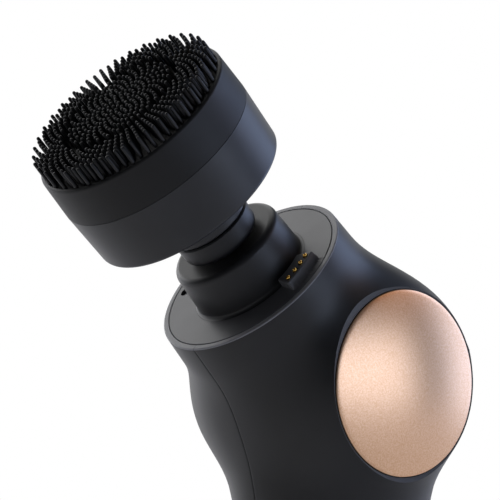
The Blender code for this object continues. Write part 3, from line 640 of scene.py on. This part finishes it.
def pocket_cutter(side):
    """The seat of a side disc, with its bezel's cone and the hole for the wires."""
    bezel_r = DISC_POCKET_R + (BEZEL_END_X - DISC_EDGE_X) / BEZEL_SLOPE
    profile = [
        (0, DISC_POCKET_X - WIRING_HOLE_DEPTH),
        (WIRING_HOLE_R, DISC_POCKET_X - WIRING_HOLE_DEPTH),
        (WIRING_HOLE_R, DISC_POCKET_X),
        (DISC_POCKET_R, DISC_POCKET_X),
        (DISC_POCKET_R, DISC_EDGE_X),
        (bezel_r, BEZEL_END_X),
        (0, BEZEL_END_X),
    ]
    cutter = lathed("pocket_cutter", profile, 180)
    turn = Matrix.Identity(4) if side > 0 else Matrix.Rotation(pi, 4, "Z")
    settle(cutter, Matrix.Translation((0, 0, BULGE_Z * MM)) @ turn @ FACE_X)
    return cutter


def rounded_bar(name, half_x, half_z, corner, low, high):
    """A bar along +Y with a rounded rectangular outline, between two depths."""
    bpy.ops.object.select_all(action="DESELECT")
    bpy.ops.mesh.primitive_cube_add(size=1, location=(0, (low + high) / 2 * MM, 0))
    bar = bpy.context.object
    bar.name = name
    bar.scale = (2 * half_x * MM, (high - low) * MM, 2 * half_z * MM)
    settle(bar)
    bpy.ops.object.mode_set(mode="EDIT")
    bpy.ops.mesh.select_all(action="DESELECT")
    bpy.ops.object.mode_set(mode="OBJECT")
    for edge in bar.data.edges:
        first, second = (bar.data.vertices[i].co for i in edge.vertices)
        edge.select = abs(first.y - second.y) > (high - low) * MM / 2
    bpy.ops.object.mode_set(mode="EDIT")
    bpy.ops.mesh.select_mode(type="EDGE")
    bpy.ops.mesh.bevel(offset=corner * MM, segments=12)
    bpy.ops.object.mode_set(mode="OBJECT")
    return bar


LENS_TILT = Matrix.Translation(
    (0, handle_radius(LENS_CENTRE_Z) * MM, LENS_CENTRE_Z * MM)
) @ Matrix.Rotation(-atan(TAPER_SLOPE), 4, "X")


def lens_bar(name, grow, back_depth):
    """A bar through the handle's back wall with the display window's outline, larger all round by grow."""
    half_x, half_z = (half + grow for half in LENS_HALF_SIZE)
    bar = rounded_bar(name, half_x, half_z, LENS_CORNER_R + grow, -back_depth, LENS_BAR_FRONT)
    settle(bar, LENS_TILT)
    return bar


def button_bar(radius, height, low, high):
    """A round bar along +Y through the handle's back wall, at a button's height."""
    bar = lathed("button_bar", [(0, low), (radius, low), (radius, high), (0, high)], 72)
    settle(bar, Matrix.Translation((0, 0, height * MM)) @ FACE_BACK)
    return bar


# Soft-touch paint: matt polyurethane on ABS, charcoal, with a velvety even grain and faint handling marks.
soft_touch = material("soft_touch_painted_abs", "#191a1c", 0.4, IOR=1.45)
vary_colour(soft_touch, "#17181a", "#1b1c1e", 9.0)
vary_roughness(soft_touch, 0.37, 0.43, 14.0)
grain(soft_touch, 0.28, 0.006)

# The rim's flat is left in the plain moulded grey of the top plate, masked off from the paint.
RIM_MASK = 0.5
rim_grey = material("moulded_satin_grey_rim", "#84858a", 0.42, IOR=1.53)
vary_colour(rim_grey, "#818287", "#87888d", 6.0)
grain(rim_grey, 0.2, 0.005)


# The bezels round the discs are matt and a little lighter than the paint: painted light, a lighter copy of
# the shell's paint that stands in for the light falling on the band.
bezel_painted_light_grey = material("painted_light_matt_bezel", "#3b3c3e", 0.6, IOR=1.5)
vary_colour(bezel_painted_light_grey, "#393a3c", "#3e3f41", 5.0)
grain(bezel_painted_light_grey, 0.3, 0.01)


def on_bezel(point):
    """Whether a point lies on the cone round a side disc."""
    radius = hypot(point.y, point.z - BULGE_Z * MM) / MM
    cone_x = DISC_EDGE_X + (radius - DISC_POCKET_R) * BEZEL_SLOPE
    return radius > DISC_POCKET_R and abs(abs(point.x) / MM - cone_x) < 0.05


def above_rim(point):
    """A point's height over the rim's plane, in millimetres."""
    return (point / MM - RIM_CENTRE).dot(tilt_vector(0, 1))


for name, side in (("left", -1), ("right", 1)):
    shell = housing_half(f"{name}_housing", side)
    cutters = [pocket_cutter(side), lens_bar("window", EDGE_GAP, 6)]
    cutters += [button_bar(BUTTON_R + EDGE_GAP, z, 10, 30) for z in BUTTON_Z.values()]
    for cutter in cutters:
        cut(shell, cutter)
    smooth(shell, 28)
    dress(shell, soft_touch, "body", "soft_touch_shell", f"{name}_shell")
    shell.data.materials.append(rim_grey)
    shell.data.materials.append(bezel_painted_light_grey)
    for face in shell.data.polygons:
        if above_rim(face.center) > -RIM_MASK:
            face.material_index = 1
        elif on_bezel(face.center):
            # The bezel faces take the lighter grey of painted light.
            face.material_index = 2


def skin_solid():
    """The whole outer form as one closed solid, to trim the pieces that lie flush in it."""
    points = []
    faces = []
    numbers = []
    for row in outer_rows[:-4]:
        ring = [Vector((p.x, p.y, p.z)) for p in row[4:-4]]
        ring += [Vector((-p.x, p.y, p.z)) for p in ring[::-1]]
        numbers.append(list(range(len(points), len(points) + len(ring))))
        points.extend(p * MM for p in ring)
    for low, high in zip(numbers, numbers[1:]):
        bridge(faces, low + low[:1], high + high[:1])
    faces.append(numbers[0])
    faces.append(numbers[-1])
    mesh = bpy.data.meshes.new("skin_solid")
    mesh.from_pydata(points, [], faces)
    solid = bpy.data.objects.new("skin_solid", mesh)
    bpy.context.collection.objects.link(solid)
    make_consistent(solid)
    return solid


# Base cap. A flat ABS disc, painted with the shells and held by three screws under the rubber foot.

cap_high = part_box("base_cap")[1]
cap_r = cap_high.x / MM
CAP_FOOT_SEAT_R = 19.9
CAP_FOOT_SEAT_Z = 1.5
CAP_UNDERSIDE_Z = 1.0
CAP_EDGE_TOP_Z = 3.4
CAP_EDGE_DRAFT = 0.5
CAP_PLUG_R = 15.0
CAP_PLUG_TOP_Z = 5.2
cap = lathed(
    "bottom_cap",
    [
        (0, CAP_FOOT_SEAT_Z),
        (CAP_FOOT_SEAT_R, CAP_FOOT_SEAT_Z),
        (CAP_FOOT_SEAT_R, CAP_UNDERSIDE_Z),
        (cap_r, CAP_UNDERSIDE_Z),
        (cap_r - CAP_EDGE_DRAFT, CAP_EDGE_TOP_Z),
        (CAP_PLUG_R, CAP_EDGE_TOP_Z),
        (CAP_PLUG_R, CAP_PLUG_TOP_Z),
        (0, CAP_PLUG_TOP_Z),
    ],
)
for side in (-1, 1):
    cut(cap, bore(side * CHARGE_X, 0, CHARGE_HOLE_R, 0, 9))
round_edges(cap, 0.15)
dress(cap, soft_touch, "body", "soft_touch_shell", "base_cap")


# Side discs. Aluminium caps pressed to a shallow dome, bead-blasted and anodised champagne; they glue into
# their seats. Blasting leaves a fine sparkling grain, and the turned edge is a bright narrow bevel.

DISC_STANDS = 0.35
DISC_DOME = 3.0 - DISC_STANDS
DISC_BACK_X = 25.3
DISC_EDGE_BEVEL = 0.2
DOME_STEPS = 24
champagne = material("bead_blasted_champagne_aluminium", "#e8bc96", 0.29, Metallic=1.0)
vary_colour(champagne, "#e1b189", "#efc7a4", 0.35)
vary_roughness(champagne, 0.25, 0.36, 0.5)
grain(champagne, 0.3, 0.012)
dome_r = (DISC_R**2 + DISC_DOME**2) / (2 * DISC_DOME)
dome_angle = asin(DISC_R / dome_r)
disc_edge_x = DISC_EDGE_X + DISC_STANDS
dome_profile = [(0, DISC_BACK_X), (DISC_R, DISC_BACK_X), (DISC_R, disc_edge_x - DISC_EDGE_BEVEL)]
for step in range(DOME_STEPS + 1):
    angle = dome_angle * (1 - step / DOME_STEPS)
    reach = dome_r * sin(angle)
    height = disc_edge_x + DISC_DOME - dome_r * (1 - cos(angle))
    dome_profile.append((min(reach, DISC_R - DISC_EDGE_BEVEL), height))
for name, side in (("left", -1), ("right", 1)):
    disc = lathed(f"{name}_cap_disc", dome_profile, 180)
    turn = Matrix.Identity(4) if side > 0 else Matrix.Rotation(pi, 4, "Z")
    settle(disc, Matrix.Translation((0, 0, BULGE_Z * MM)) @ turn @ FACE_X)
    smooth(disc, 30)
    dress(disc, champagne, "body", "rose_disc", f"{name}_side_disc")
repaint(moulded_rubber, "left_disc_gasket", "right_disc_gasket")


# Display. A polished black acrylic lens, flush in the handle's back, over a small display module.

acrylic = material("polished_black_acrylic", "#08090a", 0.08, IOR=1.49)
vary_roughness(acrylic, 0.05, 0.12, 5.0)
grain(acrylic, 3.0, 0.002)
lens = lens_bar("display_window", 0, 2)
cut(lens, skin_solid(), "INTERSECT")
smooth(lens, 30)
dress(lens, acrylic, "body", "black_glass", "display_lens")

satin_abs = material("moulded_satin_black_abs", "#232426", 0.36, IOR=1.53)
vary_colour(satin_abs, "#212224", "#252628", 7.0)
vary_roughness(satin_abs, 0.32, 0.4, 9.0)
grain(satin_abs, 0.22, 0.005)
repaint(satin_abs, "display_module")


# Buttons. Two flush round ABS caps with a shallow ring, each on a stem that presses a small switch.

BUTTON_RING = (2.6, 3.1)
BUTTON_RING_DEPTH = 0.25
BUTTON_STEM_R = 1.4
BUTTON_STEM_DEPTH = 5.0
BUTTON_CAP_DEPTH = 2.4
BUTTON_TRIM = 4.0
GROOVE_END_Y = 30.0
for name, height in BUTTON_Z.items():
    wall_y = handle_radius(height)
    cap_profile = [
        (0, wall_y - BUTTON_STEM_DEPTH),
        (BUTTON_STEM_R, wall_y - BUTTON_STEM_DEPTH),
        (BUTTON_STEM_R, wall_y - BUTTON_CAP_DEPTH),
        (BUTTON_R, wall_y - BUTTON_CAP_DEPTH),
        (BUTTON_R, wall_y + BUTTON_TRIM),
        (0, wall_y + BUTTON_TRIM),
    ]
    button = lathed(f"{name}_key", cap_profile, 72)
    settle(button, Matrix.Translation((0, 0, height * MM)) @ FACE_BACK)
    cut(button, skin_solid(), "INTERSECT")
    inner_r, outer_r = BUTTON_RING
    floor_y = wall_y - BUTTON_RING_DEPTH
    groove_ends = [(inner_r, floor_y), (outer_r, floor_y), (outer_r, GROOVE_END_Y), (inner_r, GROOVE_END_Y)]
    groove = lathed("groove", groove_ends, 72)
    settle(groove, Matrix.Translation((0, 0, height * MM)) @ FACE_BACK)
    cut(button, groove)
    smooth(button, 30)
    dress(button, satin_abs, f"{name}_key", "satin_black", f"{name}_button")


# The head's own frame: its Z runs up the drive shaft's line of travel, and its zero lies in the rim.

joints = {joint["name"]: joint for joint in frame["joints"]}
head_direction = Vector(joints["shaft_stroke"]["axis"])
crank_centre = Vector(joints["crank_spin"]["pos_m"])
HEAD = Matrix.Translation(crank_centre + head_direction * RIM_REACH * MM) @ Matrix.Rotation(
    Vector((0, 0, 1)).angle(head_direction), 4, "X"
)


def head_span(node):
    """(largest radius, lowest, highest) of a CAD node about the head's axis, in millimetres."""
    to_head = HEAD.inverted()
    points = [to_head @ vertex.co / MM for vertex in frame["nodes"][node].data.vertices]
    heights = [point.z for point in points]
    return max(hypot(point.x, point.y) for point in points), min(heights), max(heights)


# Top plate. A satin grey ABS disc that drops into the rim, with a raised ledge for the accessory's spring
# contacts on one side and a screw hole on the other. Its moulded texture is finer than the paint's.

PLATE_THICKNESS = 2.5
HUB_BORE_R = 6.8
HUB_SEAT_R = 15.32
HUB_SEAT_DEPTH = 0.3
CONTACT_LEDGE_R = (15.6, 21.2)
LEDGE_HALF_ANGLE = 15.3
LEDGE_HEIGHT = 2.2
LEDGE_EDGE = 0.3
LEDGE_SLOPE = 1.0
CONTACT_CIRCLE_R = 19.0
CONTACT_PITCH = 7.4
CONTACT_COUNT = 4
CONTACT_R = 0.55
SCREW_PLACE = (-19.6, -4.9)
SCREW_HOLE_R = 1.35

plate_abs = material("moulded_satin_grey_abs", "#505154", 0.4, IOR=1.53)
vary_colour(plate_abs, "#4e4f52", "#535457", 6.0)
vary_roughness(plate_abs, 0.36, 0.44, 8.0)
grain(plate_abs, 0.2, 0.005)

PLATE_GAP = 0.1
plate_r = RIM_OPENING_R - PLATE_GAP
plate_profile = [
    (HUB_BORE_R, -PLATE_THICKNESS),
    (plate_r, -PLATE_THICKNESS),
    (plate_r, -OPENING_CHAMFER),
    (plate_r - OPENING_CHAMFER, 0),
    (HUB_SEAT_R, 0),
    (HUB_SEAT_R, -HUB_SEAT_DEPTH),
    (HUB_BORE_R, -HUB_SEAT_DEPTH),
]
plate = lathed("face_plate", plate_profile, 180)


def ring_sector(name, radii, half_angle, low, high, slope, steps=24):
    """Part of a ring, symmetric about +X, spun from one end face, whose outer side leans in by the slope."""
    bpy.ops.object.select_all(action="DESELECT")
    middle = (radii[0] + radii[1]) / 2
    place = (middle * MM, 0, (low + high) / 2 * MM)
    bpy.ops.mesh.primitive_plane_add(size=1, rotation=(pi / 2, 0, 0), location=place)
    sector = bpy.context.object
    sector.name = name
    sector.scale = ((radii[1] - radii[0]) * MM, (high - low) * MM, 1)
    settle(sector)
    for vertex in sector.data.vertices:
        if vertex.co.x > middle * MM and vertex.co.z > (low + high) / 2 * MM:
            vertex.co.x -= slope * MM
    settle(sector, Matrix.Rotation(radians(half_angle), 4, "Z"))
    bpy.ops.object.mode_set(mode="EDIT")
    bpy.ops.mesh.select_all(action="SELECT")
    bpy.ops.mesh.spin(steps=steps, angle=radians(2 * half_angle), center=(0, 0, 0), axis=(0, 0, 1))
    bpy.ops.object.mode_set(mode="OBJECT")
    make_solid(sector)
    return sector


def make_solid(piece):
    """Merges doubles, fills any open end, and turns the faces outwards."""
    bpy.ops.object.select_all(action="DESELECT")
    piece.select_set(True)
    bpy.context.view_layer.objects.active = piece
    bpy.ops.object.mode_set(mode="EDIT")
    bpy.ops.mesh.select_all(action="SELECT")
    bpy.ops.mesh.remove_doubles(threshold=0.002 * MM)
    bpy.ops.mesh.select_mode(type="EDGE")
    bpy.ops.mesh.select_all(action="DESELECT")
    bpy.ops.mesh.select_non_manifold()
    bpy.ops.mesh.edge_face_add()
    bpy.ops.mesh.select_all(action="SELECT")
    bpy.ops.mesh.normals_make_consistent(inside=False)
    bpy.ops.object.mode_set(mode="OBJECT")


ledge = ring_sector("ledge", CONTACT_LEDGE_R, LEDGE_HALF_ANGLE, -1.0, LEDGE_HEIGHT, LEDGE_SLOPE)
round_edges(ledge, LEDGE_EDGE, 4)
cut(plate, ledge, "UNION")
contact_angles = [radians(CONTACT_PITCH * (i - (CONTACT_COUNT - 1) / 2)) for i in range(CONTACT_COUNT)]
contact_places = [(CONTACT_CIRCLE_R * cos(a), CONTACT_CIRCLE_R * sin(a)) for a in contact_angles]
for x, y in contact_places:
    cut(plate, bore(x, y, CONTACT_R + EDGE_GAP, -4, 4, 32))
cut(plate, bore(*SCREW_PLACE, SCREW_HOLE_R, -4, 4))
smooth(plate, 30)
settle(plate, HEAD)
dress(plate, plate_abs, "body", "plate_grey", "top_plate")


# Spring contacts. Four gold-plated pins that stand just proud of the ledge and give by half a millimetre;
# each has a small dished tip.

TIP_EDGE = 0.25
TIP_ROUND = (0.08, 0.22)
TIP_DISH_R = (0.14, 0.2)
TIP_DISH_LIP = 0.04
for number, (x, y) in enumerate(contact_places, 1):
    node_name = f"contact_pin_{number}"
    _, pin_low, pin_high = head_span(node_name)
    tip = [
        (0, pin_low),
        (CONTACT_R, pin_low),
        (CONTACT_R, pin_high - TIP_EDGE),
        (CONTACT_R - TIP_ROUND[0], pin_high - TIP_ROUND[0]),
        (CONTACT_R - TIP_ROUND[1], pin_high),
        (TIP_DISH_R[1], pin_high - TIP_DISH_LIP),
        (TIP_DISH_R[0], pin_high - TIP_EDGE),
        (0, pin_high - TIP_EDGE),
    ]
    pin = lathed(f"spring_pin_{number}", tip, 32)
    settle(pin, HEAD @ Matrix.Translation((x * MM, y * MM, 0)))
    smooth(pin, 30)
    dress(pin, gold_plating, f"contact_{number}", "gold", node_name)


# Plate screw. A small stainless pan-head screw, deep in its hole.

stainless = material("machined_stainless_steel", "#b9bcc0", 0.28, Metallic=1.0)
vary_roughness(stainless, 0.2, 0.36, 1.5)
grain(stainless, 0.15, 0.004)
repaint(stainless, "plate_screw")


# Hub. A satin black ABS collar round the drive shaft, moulded with a thin foot flange and a full shoulder,
# clipped down on the plate. It houses the bronze bush and the lip seal.

HUB_BASE_R = 14.4
HUB_TOP_R = 14.0
HUB_HEIGHT = 11.2
HUB_SHOULDER = 1.6
HUB_FILLET = 0.9
hub_abs = material("moulded_satin_black_hub_abs", "#1b1c1e", 0.42, IOR=1.43)
vary_colour(hub_abs, "#1a1b1d", "#1d1e20", 6.0)
vary_roughness(hub_abs, 0.38, 0.46, 9.0)
grain(hub_abs, 0.25, 0.003)
hub_profile = [(HUB_BORE_R, 0), (HUB_BASE_R + HUB_FILLET, 0)]
hub_profile += arc(HUB_FILLET, 270, 180, 8, (HUB_BASE_R + HUB_FILLET, HUB_FILLET + 0.03))
hub_profile += arc(HUB_SHOULDER, 0, 90, 12, (HUB_TOP_R - HUB_SHOULDER, HUB_HEIGHT - HUB_SHOULDER))
hub_profile += [(HUB_BORE_R, HUB_HEIGHT - 0.3)]
hub = lathed("drive_hub", hub_profile, 160)
smooth(hub, 30)
settle(hub, HEAD)
dress(hub, hub_abs, "body", "satin_black", "shaft_hub")

sintered_bronze = material("sintered_bronze", "#a8794a", 0.42, Metallic=1.0)
vary_colour(sintered_bronze, "#9a6c40", "#b38556", 0.3)
grain(sintered_bronze, 0.2, 0.01)
repaint(sintered_bronze, "shaft_bush")
repaint(moulded_rubber, "shaft_seal")


# Drive shaft and collar. A ground steel bar that strokes along the head's axis, with a moulded collar
# that shields the seal; the accessories push on to the post above it.

repaint(stainless, "drive_shaft")
SHAFT_BORE_R = 4.5
collar_r, _, collar_high = head_span("shaft_collar")
COLLAR_FILLET = 1.7
COLLAR_GAP = 0.25
COLLAR_DRAFT = 0.25
COLLAR_CHAMFER = 0.3
collar_low = HUB_HEIGHT + COLLAR_GAP
collar_profile = [(SHAFT_BORE_R, collar_low)]
fillet_centre = (collar_r - COLLAR_DRAFT - COLLAR_FILLET, collar_low + COLLAR_FILLET)
collar_profile += arc(COLLAR_FILLET, -90, 0, 10, fillet_centre)
collar_profile += [
    (collar_r, collar_high - COLLAR_CHAMFER),
    (collar_r - COLLAR_CHAMFER, collar_high),
    (SHAFT_BORE_R, collar_high),
]
collar = lathed("sliding_collar", collar_profile, 140)
smooth(collar, 30)
settle(collar, HEAD)
dress(collar, hub_abs, "shaft", "satin_black", "shaft_collar")


# Brush head: socket and cup. Satin black ABS mouldings, screwed together from inside; the socket pushes on
# to the post and a magnet holds it. The cup's floor turns into its wall with a small radius.

POST_BORE_R = 5.3
BOSS_CHAMFER = 0.4
cup_abs = material("moulded_satin_charcoal_abs", "#2a2b2d", 0.38, IOR=1.43)
vary_colour(cup_abs, "#28292b", "#2c2d2f", 8.0)
vary_roughness(cup_abs, 0.35, 0.41, 10.0)
grain(cup_abs, 0.25, 0.004)
boss_r, boss_low, boss_high = head_span("socket_boss")
boss_profile = [
    (POST_BORE_R, boss_low),
    (boss_r - BOSS_CHAMFER, boss_low),
    (boss_r, boss_low + BOSS_CHAMFER),
    (boss_r, boss_high),
    (POST_BORE_R, boss_high),
]
boss = lathed("head_socket", boss_profile, 140)
round_edges(boss, 0.15)
settle(boss, HEAD)
dress(boss, cup_abs, "brush_head", "satin_black", "socket_boss")

CUP_WALL = 2.0
CUP_FILLET = 1.1
CUP_FLOOR_THICKNESS = 2.2
cup_r, cup_low, cup_high = head_span("brush_cup")
CUP_DRAFT = 0.55
cup_profile = [(POST_BORE_R, cup_low)]
cup_profile += arc(CUP_FILLET, -90, 0, 8, (cup_r - CUP_DRAFT - CUP_FILLET, cup_low + CUP_FILLET))
cup_profile += [
    (cup_r, cup_high - 0.06),
    (cup_r - 0.06, cup_high),
    (cup_r - CUP_WALL, cup_high),
    (cup_r - CUP_DRAFT - CUP_WALL, cup_low + CUP_FLOOR_THICKNESS),
    (POST_BORE_R, cup_low + CUP_FLOOR_THICKNESS),
]
cup = lathed("head_cup", cup_profile, 180)
smooth(cup, 30)
settle(cup, HEAD)
dress(cup, cup_abs, "brush_head", "satin_black", "brush_cup")
repaint(stainless, "boss_screw_1", "boss_screw_2", "boss_screw_3")
nickel = material("nickel_plated_magnet", "#c9c7bf", 0.16, Metallic=1.0)
vary_roughness(nickel, 0.1, 0.24, 2.0)
grain(nickel, 0.4, 0.003)
repaint(nickel, "head_magnet")


# Silicone brush. Liquid silicone rubber moulded in one piece over the cup: a soft skirt, a deck, and six
# hundred bristles. Inside are closed rings, then a bare track, then ten rings set half a pitch apart.

BRISTLE_R = 0.47
BRISTLE_TIP_R = 0.43
BRISTLE_ROOT = 0.4
BRISTLE_SIDES = 10
# Radius, count and first angle in degrees of each of the innermost rings.
FIRST_RINGS = (
    (0.01, 1, 0.0),
    (1.5, 5, 17.0),
    (2.9, 12, -1.0),
    (4.3, 18, 5.0),
    (5.75, 24, 0.0),
    (7.1, 30, 6.0),
)
INNER_FIRST_R = 8.5
INNER_PITCH = 1.25
INNER_RINGS = 5
INNER_COUNT = 30
OUTER_FIRST_R = 16.05
OUTER_PITCH = 0.833
OUTER_RINGS = 10
OUTER_COUNT = 36
SKIRT_WALL = 2.2
SKIRT_GAP = 0.03
DECK_THICKNESS = 2.6
LIP_DROP = 0.35
LIP_FILLET = 0.8
LIP_WIDTH = 0.9
LIP_R = 24.8

silicone = material("moulded_liquid_silicone_black", "#0e0f10", 0.52, IOR=1.41)
vary_colour(silicone, "#0c0d0e", "#101112", 8.0)
vary_roughness(silicone, 0.48, 0.56, 6.0)
grain(silicone, 0.3, 0.004)

# The thin bristles let some light through, so they look a shade greyer than the skirt.
bristle_silicone = material("moulded_liquid_silicone_bristles", "#1d1e20", 0.42, IOR=1.41)
vary_colour(bristle_silicone, "#1b1c1e", "#202123", 2.0)
vary_roughness(bristle_silicone, 0.38, 0.48, 3.0)
grain(bristle_silicone, 0.3, 0.004)

BRISTLE_STANDS = 4.6
brush_r, _, brush_high = head_span("silicone_brush")
lip_z = brush_high - BRISTLE_STANDS
deck_z = lip_z - LIP_DROP
skirt_inner = brush_r - SKIRT_WALL
skirt_low = cup_high + SKIRT_GAP
skirt_profile = [(skirt_inner, skirt_low), (brush_r - 0.06, skirt_low), (brush_r, skirt_low + 0.06)]
skirt_profile += arc(LIP_FILLET, 0, 90, 8, (LIP_R - LIP_FILLET, lip_z - LIP_FILLET))
skirt_profile += [
    (LIP_R - LIP_WIDTH, lip_z - 0.02),
    (LIP_R - LIP_WIDTH - 0.15, deck_z),
    (0, deck_z),
    (0, deck_z - DECK_THICKNESS),
    (skirt_inner - 0.3, deck_z - DECK_THICKNESS),
]
skirt = lathed("silicone_skirt", skirt_profile, 180)
smooth(skirt, 30)
settle(skirt, HEAD)
dress(skirt, silicone, "brush_head", "silicone", "silicone_brush")

tip_z = brush_high
bristle_profile = [
    (0, deck_z - BRISTLE_ROOT),
    (BRISTLE_R, deck_z - BRISTLE_ROOT),
    (BRISTLE_TIP_R, tip_z - BRISTLE_TIP_R),
    (BRISTLE_TIP_R * 0.8, tip_z - BRISTLE_TIP_R * 0.4),
    (BRISTLE_TIP_R * 0.4, tip_z - BRISTLE_TIP_R * 0.08),
    (0, tip_z),
]
bristle = lathed("bristle", bristle_profile, BRISTLE_SIDES)
rings = list(FIRST_RINGS)
for first_r, pitch, ring_count, count in (
    (INNER_FIRST_R, INNER_PITCH, INNER_RINGS, INNER_COUNT),
    (OUTER_FIRST_R, OUTER_PITCH, OUTER_RINGS, OUTER_COUNT),
):
    rings += [(first_r + pitch * i, count, 180 / count * (i % 2)) for i in range(ring_count)]
places = [(ring_r, radians(turn + 360 * i / count)) for ring_r, count, turn in rings for i in range(count)]
bpy.ops.object.select_all(action="DESELECT")
for ring_r, angle in places:
    copy = bpy.data.objects.new("bristle_copy", bristle.data.copy())
    bpy.context.collection.objects.link(copy)
    copy.data.transform(Matrix.Translation((ring_r * cos(angle) * MM, ring_r * sin(angle) * MM, 0)))
    copy.select_set(True)
bpy.data.objects.remove(bristle)
bpy.context.view_layer.objects.active = copy
bpy.ops.object.join()
bristles = bpy.context.object
bristles.name = "bristle_field"
bpy.ops.object.shade_smooth_by_angle(angle=radians(50))
settle(bristles, HEAD)
dress(bristles, bristle_silicone, "brush_head", "silicone")


# Nylon pieces inside. Glass-filled nylon mouldings: the plate that backs the silicone deck, the block of the
# contacts, the frame that holds the works, the connecting rod, and the bodies of the two switches.

nylon = material("moulded_glass_filled_nylon", "#6e7073", 0.5, IOR=1.53)
vary_colour(nylon, "#67696c", "#76787b", 2.0)
grain(nylon, 0.5, 0.01)
repaint(nylon, "support_plate", "contact_block", "inner_frame", "connecting_rod")
repaint(nylon, "power_switch", "mode_switch")


# Drive. A flat can motor on a steel bracket turns an eccentric; a nylon rod with a ball bearing changes
# that to the shaft's six-millimetre stroke.

repaint(stainless, "motor", "motor_shaft", "motor_bracket", "rod_bearing", "wrist_pin")
repaint(stainless, "bracket_screw_1", "bracket_screw_2", "base_screw_1", "base_screw_2", "base_screw_3")
repaint(sintered_bronze, "eccentric")


# Electronics. Glass-epoxy boards under green solder mask, and a lithium cell in a blue shrink sleeve.

solder_mask = material("green_solder_mask_on_glass_epoxy", "#1c5a38", 0.35, IOR=1.55)
vary_colour(solder_mask, "#174d30", "#256b45", 1.2)
grain(solder_mask, 0.6, 0.008)
repaint(solder_mask, "main_board", "switch_board")
sleeve = material("blue_heat_shrink_sleeve", "#2a5f9a", 0.32, IOR=1.54)
vary_colour(sleeve, "#275a93", "#3069a6", 5.0)
grain(sleeve, 1.5, 0.02)
repaint(sleeve, "battery")

low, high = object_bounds()
